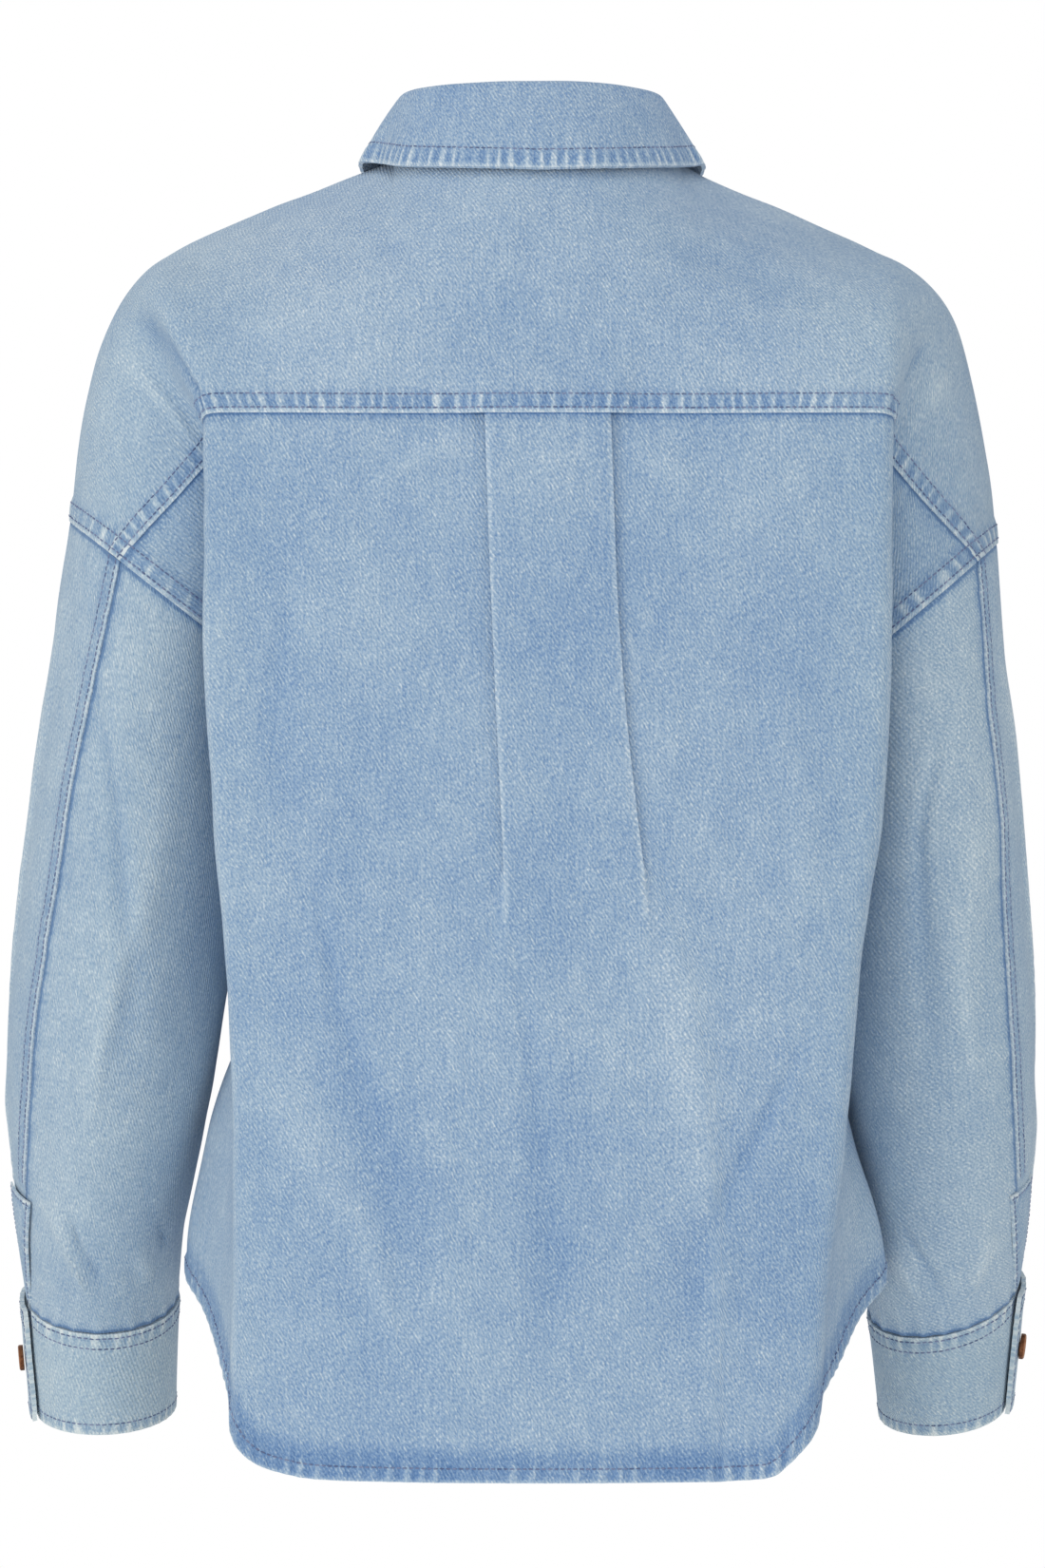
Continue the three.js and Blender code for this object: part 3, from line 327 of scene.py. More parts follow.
def front_guides(side, slab_z):
    hem = np.concatenate([[side.hem["front_centre"]], hem_heights(side, side.hem["front_centre"])])
    z, fall, end = row_heights(side, slab_z, FRONT_DROP, hem, FRONT_LEG_ANGLE, CHEST_Z)
    at = {name: FRONT(name, z) for name in ("centre_y", "ridge_x", "ridge_y", "tuck_x", "tuck_y")}
    beneath = FRONT_STEP if side is LEFT else 0

    def slab(k, x):
        y = mix(at["centre_y"][k], at["ridge_y"][k], (x / at["ridge_x"][k])**2)
        return np.array([x, y + beneath * (1 - ease((x - 17) / 30)), z[k]])

    ridge = lambda k, dx, dy: np.array([at["ridge_x"][k] + dx, at["ridge_y"][k] + dy, z[k]])
    tuck = [np.array([at["tuck_x"][k], at["tuck_y"][k], z[k]]) for k in range(16)]
    outer = [np.array([side.back("side_x", z[k]), side.back("side_y", z[k]), z[k]]) if fall > 0 else end
             for k in range(16)]
    inward = mix(ridge(9, 0, 16), tuck[10], 0.5)
    inward[2] = z[10]
    wing = [beyond_tuck(tuck[k], outer[k], t, 0, fall, z[k]) for k, t in ((12, 0.22), (13, 0.5), (14, 0.8))]
    return np.array([*[slab(k, x) for k, x in enumerate((-FRONT_LAP, 18, 45, 75, 116))],
                     slab(5, at["ridge_x"][5] - 26), ridge(6, -12, -1), ridge(7, -2, 0), ridge(8, 2, 6),
                     ridge(9, 1, 16), inward, tuck[11], *wing, outer[15]])


# %% The yoke's legs and the upper front
RIDGE_SHARE = [0, 0.22, 0.34, 0.38, 0.41, 0.44, 0.48, 0.52, 0.56, 0.62, 0.72, 0.84, 1]


def shoulder_point(side, beyond_neck):
    share = np.interp(beyond_neck, range(len(RIDGE_SHARE)), RIDGE_SHARE)
    return spline(side.shoulder, share * (len(side.shoulder) - 1))


def back_neck(share):
    angle = np.asarray(share) * math.pi / 2
    return pack(NECK_HALF * np.sin(angle), NECK_SIDE_Y + NECK_BACK * np.cos(angle), NECK_SIDE_Z)


def leg(top, foot, steepness, sideways):
    """The four handles of the curve from the top line down to the seam behind or the chest row in front."""
    down = foot - top
    reach = 0.55 * np.abs(down[:, 1])
    fall = np.hypot(down[:, 0], down[:, 2])
    start = pack(sideways, np.sign(down[:, 1]) * reach * np.cos(steepness), -reach * np.sin(steepness))
    up = unit(pack(-down[:, 0], 0, -down[:, 2]))
    return top, top + start, foot + 0.55 * fall[:, None] * up, foot


def back_leg(side, guide):
    guide = np.atleast_1d(guide).astype(float)
    beyond = np.maximum(0, guide - NECK_GUIDE)
    in_neck = guide < NECK_GUIDE
    top = np.where(in_neck[:, None], back_neck(guide / NECK_GUIDE), shoulder_point(side, beyond))
    foot = spline(back_guides(side, YOKE_SEAM_Z), guide)
    steep = np.where(in_neck, mix(50, 22, guide / NECK_GUIDE), mix(22, 0, ease(beyond / 5)))
    sideways = np.where(in_neck, NECK_HALF * guide / NECK_GUIDE - top[:, 0], 0)
    return leg(top, foot, np.radians(steep), sideways)


def front_leg(side, guide):
    guide = np.atleast_1d(guide).astype(float)
    beyond = guide - FRONT_NECK_GUIDE
    foot = spline(front_guides(side, CHEST_Z), guide)
    steep = np.radians(mix(20, 0, ease(beyond / 6)))
    return leg(shoulder_point(side, beyond), foot, steep, mix(-12, 0, ease(beyond / 4)))


def on_legs(side, legs, last, guide, share, end_angle):
    """Points at these shares down the legs of these guides, drawn to the armhole curve at the outer end."""
    guide, share = np.atleast_1d(guide).astype(float), np.atleast_1d(share).astype(float)
    t = share[:, None, None]
    error = sleeve_point(side, 0, end_angle * share) - bezier(*legs(side, [last]), t)[:, 0]
    return bezier(*legs(side, guide), t) + error[:, None] * ease((guide - last + 5) / 5)[None, :, None]


def back_yoke(side, guide, share):
    p = on_legs(side, back_leg, END_GUIDE, guide, share, side.seam_angle)
    over_pleat = 1 - ease((p[..., 0] - side.pleat_edge()) / 16)
    p[..., 1] += PLEAT("step", YOKE_SEAM_Z) * over_pleat * ease((np.atleast_1d(share)[:, None] - 0.82) / 0.18)
    return p


def front_top(side, guide, share):
    return on_legs(side, front_leg, FRONT_END_GUIDE, guide, share, FRONT_LEG_ANGLE)


FRONT_NECK_X = (-FRONT_LAP, 18, 44)


def front_upper(side, guide, share):
    """The front above the chest row: beyond the neck it follows the legs, beside it the neck's curve."""
    guide, share = np.atleast_1d(guide).astype(float), np.atleast_1d(share).astype(float)
    corner = front_top(side, FRONT_NECK_GUIDE, FRONT_YOKE_SHARE)[0, 0]
    x = np.interp(guide, [0, 1, 2, 3], [*FRONT_NECK_X, corner[0]])
    c = np.sqrt(np.maximum(0, 1 - (x / corner[0])**2))
    top = pack(x, corner[1] - 34 * c, corner[2] - 45 * c)
    if side is LEFT:
        top[:, 1] += FRONT_STEP * (1 - ease((x - 17) / 30))
    foot = spline(front_guides(side, CHEST_Z), guide)
    t = ease((guide - 0.95) / (FRONT_NECK_GUIDE - 0.95))[:, None]
    handle = bezier(*front_leg(side, [FRONT_NECK_GUIDE]), FRONT_YOKE_SHARE + 0.23)[0] - corner
    first = mix(np.array([0, -9, -28.0]), handle, t)
    second = mix(np.array([0, 0, 30.0]), np.array([0, 0, 46.0]), t)
    beside = bezier(top, top + first, foot + second, foot, share[:, None, None])
    legs = front_top(side, np.maximum(guide, FRONT_NECK_GUIDE), mix(FRONT_YOKE_SHARE, 1, share))
    return np.where((guide >= FRONT_NECK_GUIDE)[None, :, None], legs, beside)


# %% The pleat and whole rows of the back
def pleat_guides(side, z):
    edge = side.pleat_edge(z)
    under, step = PLEAT("under", z), PLEAT("step", z)
    spread = max(0, -under)
    folded = np.clip(under / 4, 0, 1)
    inner = edge - max(0, under)
    at = lambda open_x, fold_x, open_y, fold_y: (
        mix(open_x, fold_x, folded), step * mix(open_y, fold_y, folded), z)
    return np.array([
        (0, step, z), (edge - 16, step, z), (edge - 5, step, z), at(edge + 0.5, edge + 0.5, 1, 0.95),
        at(edge + 0.6 + spread * 0.2, edge + 0.6, 0.85, 0.75),
        at(edge + 1 + spread * 0.5, edge - 2.5, 0.5, 0.5),
        at(edge + 2 + spread * 0.7, inner + 2.5, 0.3, 0.5),
        at(edge + 3 + spread * 0.9, inner - 0.6, 0.1, 0.25),
        at(edge + 4 + spread, inner - 0.5, 0, 0.1), at(edge + 8 + spread, edge - 6, 0, 0),
        (edge + spread + 12, 0, z)], float)


# Places along a back row: the pleat's fold, the end of the pleat's curve, and the outer end
FOLD_PLACE, PLEAT_END, ROW_END = 3.6, 10, 22.5


def back_row(side, slab_z, w):
    guides, pleat = back_guides(side, slab_z), pleat_guides(side, slab_z)
    pleat[:, 1] += mix(guides[0, 1], guides[5, 1], (pleat[:, 0] / guides[5, 0])**2)
    w = np.asarray(w, float)[:, None]
    folded = spline(pleat, np.clip(w[:, 0], 0, PLEAT_END))
    plain = spline(guides, np.clip(w[:, 0] - 8.5, 2.5, END_GUIDE))
    bridge = mix(pleat[-1], spline(guides, 2.5), np.clip(w - PLEAT_END, 0, 1))
    return np.where(w <= PLEAT_END, folded, np.where(w < PLEAT_END + 1, bridge, plain))


def mirrored(side, points):
    return points * np.array([side.sign, 1, 1])


def both_sides(make):
    """One grid from the outer end of the right side over the middle to the outer end of the left one."""
    left, right = make(LEFT), mirrored(RIGHT, make(RIGHT))
    return np.concatenate([right[:, ::-1], left[:, 1:]], 1)


# %% [markdown]
# ## Creases along given lines
# Worn denim keeps a few long, soft folds and many shallow ones. They could come from a cloth simulation,
# but the photo shows exactly where the main ones lie, so each is placed as a soft ridge or trough along
# its own line. A line is seen from one side of the shirt. Its height in millimetres is negative for a
# trough, and its half width is given too.

# %% The creases
# face, height, half width, then the line's points: x and z for back and front, y and z for left and right
CREASES = [
    # armpits: the sleeve head folds in towards the end of the yoke seam
    ("back", -4.2, 7, [(214, -70), (199, -92), (187, -108), (177, -122), (172, -140)]),
    ("back", 2.2, 8, [(223, -92), (206, -112), (190, -130), (178, -150)]),
    ("back", -3, 6, [(-206, -88), (-196, -106), (-187, -120), (-180, -138)]),
    ("back", 1.6, 8, [(-219, -106), (-204, -124), (-190, -146)]),
    ("back", 1.5, 9, [(30, -141), (46, -147), (68, -158), (88, -172)]),
    ("back", 1.3, 9, [(-41, -144), (-60, -155), (-84, -174)]),
    # long soft folds down the back
    ("back", -1.6, 15, [(118, -350), (104, -440), (78, -520), (50, -590)]),
    ("back", 1.7, 16, [(150, -430), (122, -500), (88, -560), (66, -640)]),
    ("back", -1.7, 15, [(-146, -440), (-116, -500), (-86, -560), (-70, -640)]),
    ("back", 1.5, 15, [(-60, -360), (-76, -460), (-92, -560), (-96, -650)]),
    ("back", -1.3, 13, [(17, -380), (2, -470), (-6, -570), (-4, -650)]),
    ("back", 1.1, 12, [(-120, -250), (-136, -330), (-140, -400)]),
    ("back", -1.2, 14, [(128, -210), (138, -290), (130, -370)]),
    ("back", 1.0, 11, [(96, -70), (128, -84), (160, -90)]),
    ("back", -1.0, 12, [(-60, -40), (-110, -58), (-160, -78)]),
    # the sleeves, from behind
    ("back", 2.6, 8, [(262, -540), (255, -566), (245, -592), (236, -606)]),
    ("back", -2.4, 7, [(252, -552), (243, -578), (230, -600)]),
    ("back", -2.2, 6, [(205, -556), (198, -580), (203, -600)]),
    ("back", 1.8, 6, [(214, -570), (210, -588), (206, -603)]),
    ("back", 1.7, 11, [(190, -300), (206, -380), (228, -450), (240, -520)]),
    ("back", -1.9, 12, [(236, -250), (222, -330), (214, -420), (222, -500)]),
    ("back", 2.0, 8, [(-184, -566), (-196, -584), (-206, -604)]),
    ("back", -2.0, 7, [(-194, -560), (-208, -582), (-220, -602)]),
    ("back", 2.2, 7, [(-240, -560), (-238, -580), (-232, -604)]),
    ("back", -1.8, 12, [(-216, -270), (-200, -350), (-204, -430), (-214, -500)]),
    ("back", 1.6, 11, [(-236, -330), (-222, -410), (-232, -500)]),
    # the same kinds of fold on the hidden sides
    ("front", -2.6, 13, [(176, -180), (140, -230), (112, -300), (100, -380)]),
    ("front", 2.2, 14, [(150, -260), (124, -350), (114, -460), (106, -560)]),
    ("front", -2.4, 13, [(-172, -185), (-138, -240), (-110, -320), (-102, -400)]),
    ("front", 2.0, 15, [(-150, -300), (-128, -400), (-110, -500), (-104, -600)]),
    ("front", 1.6, 13, [(60, -230), (66, -340), (58, -460), (62, -580)]),
    ("front", -1.6, 12, [(-60, -260), (-52, -380), (-60, -500), (-56, -600)]),
    ("front", -4, 9, [(188, -415), (214, -432), (246, -436), (270, -428)]),
    ("front", 3.4, 10, [(184, -438), (212, -455), (246, -460), (274, -452)]),
    ("front", -3.2, 8, [(192, -462), (218, -478), (252, -484)]),
    ("front", 2.4, 9, [(196, -380), (222, -396), (256, -392)]),
    ("front", -4, 9, [(-176, -418), (-202, -434), (-236, -436), (-258, -426)]),
    ("front", 3.4, 10, [(-172, -442), (-200, -458), (-234, -462), (-262, -450)]),
    ("front", -3, 8, [(-180, -466), (-206, -482), (-240, -486)]),
    ("front", 2.4, 9, [(-184, -384), (-208, -400), (-244, -396)]),
    ("front", 2.4, 8, [(226, -590), (238, -575), (256, -560)]),
    ("front", -2.2, 8, [(-214, -592), (-226, -576), (-244, -560)]),
    ("left", 2.4, 12, [(30, -200), (10, -300), (-10, -400), (-34, -490)]),
    ("left", -2.4, 12, [(-30, -230), (-44, -330), (-50, -420)]),
    ("left", 2.6, 8, [(-20, -470), (-50, -520), (-76, -580)]),
    ("right", 2.4, 12, [(28, -210), (8, -310), (-12, -410), (-36, -500)]),
    ("right", -2.2, 12, [(-32, -240), (-46, -340), (-52, -430)]),
    ("right", 2.4, 8, [(-22, -480), (-52, -530), (-78, -590)]),
]
FACES = {"back": (0, 1, 1), "front": (0, 1, -1), "left": (1, 0, 1), "right": (1, 0, -1)}


def crease_relief(points, normals):
    """Height of the listed creases at these points."""
    relief = np.zeros(points.shape[:-1])
    for face, height, half, line in CREASES:
        across, depth, sign = FACES[face]
        seen = points[..., [across, 2]]
        facing = ease((normals[..., depth] * sign - 0.05) / 0.4)
        on_side = points[..., depth] * sign > (-30 if face in ("back", "front") else 60)
        line = np.array(line, float)
        low, high = line.min(0) - 3 * half, line.max(0) + 3 * half
        near = on_side & (facing > 0) & np.all((seen > low) & (seen < high), -1)
        if not near.any():
            continue
        p = seen[near]
        lengths = np.linalg.norm(np.diff(line, axis=0), axis=1)
        starts = np.concatenate([[0], np.cumsum(lengths)])
        best, place = np.full(len(p), 1e9), np.zeros(len(p))
        for k, length in enumerate(lengths):
            along = (line[k + 1] - line[k]) / length
            t = np.clip((p - line[k]) @ along, 0, length)
            gap = np.linalg.norm(p - line[k] - t[:, None] * along, axis=1)
            place = np.where(gap < best, (starts[k] + t) / starts[-1], place)
            best = np.minimum(best, gap)
        wide = (best / (half * (0.75 + 0.5 * np.sin(place * 2.6 + height))))**2
        taper = ease(np.minimum(place, 1 - place) * 3.2 + 0.05)
        relief[near] += height * np.exp(-wide) * (1 - 0.45 * wide) * taper * facing[near]
    return relief


def cloudy(points, size, seed):
    """Smooth unevenness between about -1 and 1, with humps of this size."""
    flat = (points.reshape(-1, 3) / size + seed).tolist()
    return np.array([noise.noise(Vector(p)) for p in flat]).reshape(points.shape[:-1]) * 1.8


print("creases:", len(CREASES))

# %% [markdown]
# ## Sums on sockets
# A finish is worked out by many small sums on shader sockets. A small class wraps a socket so that a sum
# is written as in any Python line, and each one adds its own Math node. Every other node comes from one
# method of the finish.

# %% A socket that can be used in sums
class Signal:
    def __init__(self, finish, socket):
        self.finish, self.socket = finish, socket

    def math(self, operation, *values):
        return self.finish.node("ShaderNodeMath", {"operation": operation}, dict(enumerate(values)))

    def __add__(self, other):
        return self.math("ADD", self, other)

    def __sub__(self, other):
        return self.math("SUBTRACT", self, other)

    def __rsub__(self, other):
        return self.math("SUBTRACT", other, self)

    def __mul__(self, other):
        return self.math("MULTIPLY", self, other)

    __radd__, __rmul__ = __add__, __mul__

    def sine(self):
        return self.math("SINE", self)

    def distance(self, other):
        return (self - other).math("ABSOLUTE", self - other)

    def between(self, low, high):
        """0 below low, 1 above high and a soft step between them; turned round when low is the higher."""
        return self.finish.node("ShaderNodeMapRange", {"interpolation_type": "SMOOTHSTEP"},
                                {"Value": self, "From Min": low, "From Max": high})


def colour(code):
    """The linear colour of a web code such as #8fa6c2."""
    parts = [int(code[k:k + 2], 16) / 255 for k in (1, 3, 5)]
    return tuple(c / 12.92 if c <= 0.04045 else ((c + 0.055) / 1.055)**2.4 for c in parts) + (1.0,)


class Finish:
    """A material, built up from its principled shader."""

    def __init__(self, name, **constants):
        self.material = bpy.data.materials.new(name)
        self.material.use_nodes = True
        self.tree = self.material.node_tree
        self.shader = self.tree.nodes["Principled BSDF"]
        for key, value in constants.items():
            self.put(self.shader.inputs[key.replace("_", " ")], value)

    def put(self, socket, value):
        if isinstance(value, Signal):
            self.tree.links.new(value.socket, socket)
        else:
            socket.default_value = value

    def node(self, kind, settings, sockets, output=0):
        node = self.tree.nodes.new(kind)
        for key, value in settings.items():
            if key != "stops":
                setattr(node, key, value)
                continue
            ramp = node.color_ramp.elements
            while len(ramp) < len(value):
                ramp.new(0.5)
            for stop, (place, code) in zip(ramp, value):
                stop.position, stop.color = place, colour(code)
        for key, value in sockets.items():
            self.put(node.inputs[key], value)
        return Signal(self, node.outputs[output])

    def place(self, flat):
        """Where on the cloth: metres along and across the cut when flat, else the place on the shirt."""
        return self.node("ShaderNodeUVMap" if flat else "ShaderNodeTexCoord", {}, {}, 0 if flat else "Object")

    def flecks(self, place, scale, detail=3.0, rough=0.5, bend=0.0, flat=False):
        """Noise between about 0 and 1 with this many humps to the metre along each axis."""
        stretched = self.node("ShaderNodeMapping", {}, {"Vector": place, "Scale": scale})
        return self.node("ShaderNodeTexNoise", {"noise_dimensions": "2D" if flat else "3D"}, {
            "Vector": stretched, "Scale": 1.0, "Detail": detail, "Roughness": rough, "Distortion": bend})

    def kept(self, name):
        """A number kept on the cloth's points."""
        return self.node("ShaderNodeAttribute", {"attribute_name": name}, {}, "Fac")

    def blend(self, share, first, second):
        return self.node("ShaderNodeMix", {"data_type": "RGBA"}, {0: share, 6: first, 7: second}, 2)

    def feed(self, **signals):
        for key, value in signals.items():
            self.put(self.shader.inputs[key.replace("_", " ")], value)

    def bump(self, height, depth, strength=1.0):
        """Relief of this depth in metres where height goes from 0 to 1."""
        self.feed(Normal=self.node("ShaderNodeBump", {}, {
            "Height": height, "Distance": depth, "Strength": strength}))


# %% [markdown]
# ## Washed denim
# Denim is a twill of blue warp and white weft, so its colour is broken into fine slanting lines, with
# thicker yarns running through them. Washing leaves it cloudy and pales whatever stands proud: creases,
# puckers and the seams' edges, while the valleys beside the stitches keep their blue. Painted light and
# shade are added too: a painted shadow line under lapping edges, painted shade in crease troughs, a
# painted highlight on the back's rounded edges, painted light on parts that lie in shade, and the left
# cuff painted lighter than the right. All of that is added up into one number, which a ramp of blues
# turns into the colour; a greenish grey is mixed in towards the sides as painted warm bounce light. The
# inside shows more of the white weft.

# %% Denim, outside and inside
TWILL_PITCH = 0.0018  # metres between the twill's lines
TWILL_SLOPE = math.radians(60)


def washed_denim(name, blues, contrast, worn):
    """Denim in the blues given from dark to pale; worn scales the marks of washing and the painted light and
    shade.
    """
    denim = Finish(name, Roughness=0.88, Specular_IOR_Level=0.22, Sheen_Weight=0.12, Sheen_Roughness=0.6,
                   Sheen_Tint=(0.8, 0.88, 1, 1))
    flat, on_shirt = denim.place(True), denim.place(False)
    clouds = denim.flecks(on_shirt, (95, 95, 75), detail=5, rough=0.62, bend=0.5)
    blotches = denim.flecks(on_shirt, (17, 17, 13), detail=1) - 0.5
    wisps = denim.flecks(on_shirt, (150, 150, 100), detail=2, bend=1.4).distance(0.5).between(0.06, 0.0)

    across = denim.node("ShaderNodeSeparateXYZ", {}, {0: flat}, 0)
    along = denim.node("ShaderNodeSeparateXYZ", {}, {0: flat}, 1)
    over_twill = across * math.sin(TWILL_SLOPE) - along * math.cos(TWILL_SLOPE)
    down_twill = across * math.cos(TWILL_SLOPE) + along * math.sin(TWILL_SLOPE)
    on_twill = denim.node("ShaderNodeCombineXYZ", {}, {0: over_twill, 1: down_twill})
    grain = denim.flecks(on_twill, (1000, 520, 1), detail=1, rough=0.6, flat=True) - 0.5
    waver = denim.flecks(on_shirt, (60, 60, 45), detail=1)
    twill = (over_twill * (2 * math.pi / TWILL_PITCH) + waver * 8).sine()
    yarns = denim.flecks(flat, (900, 40, 1), detail=2, rough=0.6, flat=True) - 0.5

    edge, tucked, fold = denim.kept("edge"), denim.kept("tucked"), denim.kept("fold")
    frayed = (clouds - 0.5) * 5
    rubbed = (edge + frayed).between(3.3, 0.7) + (fold + frayed).between(2.8, 0.2) * 0.8
    pucker = denim.kept("pucker")
    # Painted shadow: a dark line just under the edge of a lapping piece (the 0.4 step), and darker unwashed
    # blue a little further out (the 0.14 step).
    beside = tucked.between(7.5, 1.6) * 0.14 + tucked.between(2.9, 1.3) * 0.4
    shade = (0.5 + (clouds - 0.5) * 0.22 + blotches * 0.09 + wisps * (clouds.between(0.45, 0.62) * 0.07)
             + grain * 0.8 + yarns * 0.28 + twill * (0.06 + grain * 0.32))
    # The marks of washing plus the painted light and shade kept on the cloth, in one sum.
    wear_and_painted_light = (denim.kept("faded") + pucker * 0.17 + pucker.between(0.1, 1.1) * 0.32 + rubbed * 0.2 - beside)
    shade = 0.5 + (shade - 0.5) * contrast + wear_and_painted_light * worn
    dyed = denim.node("ShaderNodeValToRGB", {"stops": blues}, {0: shade})
    # A greenish grey is mixed in by its attribute: painted warm bounce light towards the sides, and a flat
    # grey tint on the cuffs.
    denim.feed(Base_Color=denim.blend(denim.kept("greyed"), dyed, colour("#bccdb8")))
    denim.bump(grain * 1.2 + twill * 0.5 + yarns, 0.0002)
    return denim.material


DENIM = washed_denim("denim", [
    (0.0, "#4e75a8"), (0.28, "#7394be"), (0.5, "#94aeca"), (0.72, "#b2c6d8"), (1.0, "#dbe5ec")], 1.0, 1.0)
DENIM_INSIDE = washed_denim("denim_inside", [
    (0.0, "#93a8bf"), (0.5, "#b6c3d0"), (1.0, "#dde3e8")], 0.8, 0.2)
print("denim nodes:", len(DENIM.node_tree.nodes))

# %% [markdown]
# ## How a panel becomes cloth
# Each panel starts as a flat grid of its cut size and is then laid on the form. On its way it gets the
# creases, the raised band of a lapped seam or turned hem, and the puckers that washing draws in along the
# stitches. The places of those details are kept on the cloth as attributes, because the denim's colour
# follows them: ridges wash out pale and the valleys between keep their blue, crease troughs also get
# painted shade, and some panels get painted light or a painted highlight. A wall of the cloth's
# thickness is added last.

# %% Laying a panel on its form
class Edge:
    """A stitched edge of a panel: each point's distance from it and place along it, and what it does."""

    def __init__(self, distance, along, band=BAND, lap=LAP, pucker=0.45, reach=15, pitch=7.0, seed=0.0,
                 covered=False, blue=1.0, blue_reach=None, worn=1.0, shown=1.0):
        self.distance, self.band, self.lap = distance, band, lap
        self.axis = 0 if np.ptp(distance, axis=0).mean() > np.ptp(distance, axis=1).mean() else 1
        self.end = 0 if distance.take(0, self.axis).mean() < distance.take(-1, self.axis).mean() else -1
        self.along = np.broadcast_to(np.expand_dims(along.take(self.end, self.axis), self.axis), along.shape)
        self.pucker, self.reach, self.pitch, self.seed = pucker, reach, pitch, seed
        self.covered = covered  # another piece laps over this edge
        self.depth_of_blue, self.blue_reach = blue, blue_reach or 1.4 * abs(band)
        self.worn, self.shown = worn, shown

    def square_up(self, points):
        """Distances were measured along the cloth's lines; this makes them square to a slanting edge."""
        on_edge = points.take(self.end, self.axis)
        inwards = unit(points.take(1 if self.end == 0 else -2, self.axis) - on_edge)
        square = np.linalg.norm(np.cross(unit(np.gradient(on_edge, axis=0)), inwards), axis=-1)
        square = np.where(np.linalg.norm(inwards, axis=-1) > 0.5, np.maximum(square, 0.3), 1)
        self.distance = self.distance * np.expand_dims(square, self.axis)
        fading = ease((self.blue_reach - self.distance) / (0.4 * self.blue_reach))
        self.blue = self.depth_of_blue * ease(self.distance / 3) * fading


def puckers(edge):
    """Ridges that run away from the edge: strongest between the stitch rows, gone at the edge's reach."""
    near = edge.distance < edge.reach * 1.25
    d, s = edge.distance[near], edge.along[near]
    drift = lambda size, k: np.array([noise.noise(Vector(p)) for p in np.stack(
        [s / size, d / 60 + edge.seed, np.full_like(s, edge.seed + k)], 1).tolist()])
    turn = s / edge.pitch + 0.7 * drift(edge.pitch * 2.3, 0)
    ridge = 2 * (0.5 + 0.5 * np.cos(2 * math.pi * turn))**1.3 - 0.8
    uneven = 0.85 + 0.5 * drift(edge.pitch * 2.1, 5)
    middle = abs(edge.band) * 0.55
    strong = ease((edge.reach * 1.25 - d) / (edge.reach * 0.9))
    strong = strong * (0.4 + 0.6 * np.exp(-((d - middle) / 4.2)**2))
    made = np.zeros(edge.distance.shape)
    made[near] = np.clip(ridge * uneven + 0.3 * drift(edge.pitch * 3.1, 9), -1.2, 1.2) * strong
    return made


def outward_normals(points, outside):
    across, down = np.gradient(points, axis=1), np.gradient(points, axis=0)
    return unit(np.cross(across, down)) * outside


class Panel:
    """A grid of points on the shirt, in millimetres, with its normals and what its edges do to it."""

    def __init__(self, points, outside, edges=(), creased=1.0, uneven=1.0, centre=0, lifted=None, fold=None,
                 faded=0.0, greyed=0.0, grain=None):
        self.normals = outward_normals(points, outside) if lifted is None else lifted
        self.outside = outside
        self.u, self.v = arcs(points, 1), -arcs(points, 0)
        self.cut = [float(np.ptp(self.u, axis=1).max()) * MM, float(np.ptp(self.v, axis=0).max()) * MM]
        if grain is not None:
            self.u, self.v = grain
        self.u = (self.u - self.u[:, centre:centre + 1]) * outside
        relief = creased * crease_relief(points, self.normals)
        cloud = cloudy(points, 78, 3.1) * 0.9 + cloudy(points, 27, 9.4) * 0.3
        self.edges = edges
        lift, self.pucker = np.zeros(relief.shape), np.zeros(relief.shape)
        self.edge, self.tucked = np.full((2, *relief.shape), 60.0)
        blue = np.zeros(relief.shape)
        self.fold = np.full(relief.shape, 60.0) if fold is None else fold
        for edge in edges:
            edge.square_up(points)
            made = puckers(edge)
            lift += made * edge.pucker
            lap = edge.lap * ease((edge.band + 1.2 - edge.distance) / 2.4)
            lift = np.maximum(lift, lap + made * edge.pucker)
            seen = made * (0.3 if edge.covered else edge.shown)
            self.pucker = np.where(np.abs(seen) > np.abs(self.pucker), seen, self.pucker)
            # Distance to edges under a lap, where the denim paints a shadow line.
            if edge.covered:
                self.tucked = np.minimum(self.tucked, edge.distance)
            else:
                self.edge = np.minimum(self.edge, edge.distance + 2.5 * (1 - edge.worn))
                blue = np.maximum(blue, edge.blue)
        relief = relief + uneven * cloud
        # The relief goes into the colour: ridges paler from washing, troughs darker as painted shade.
        self.faded = faded + 0.055 * relief - 0.125 * blue
        # Towards the sides a greenish grey is painted in for warm bounce light.
        self.greyed = greyed + 0.09 * ease((np.abs(points[..., 0]) - 110) / 100)
        self.points = points + self.normals * (relief + lift)[..., None]
        self.normals = outward_normals(self.points, outside)


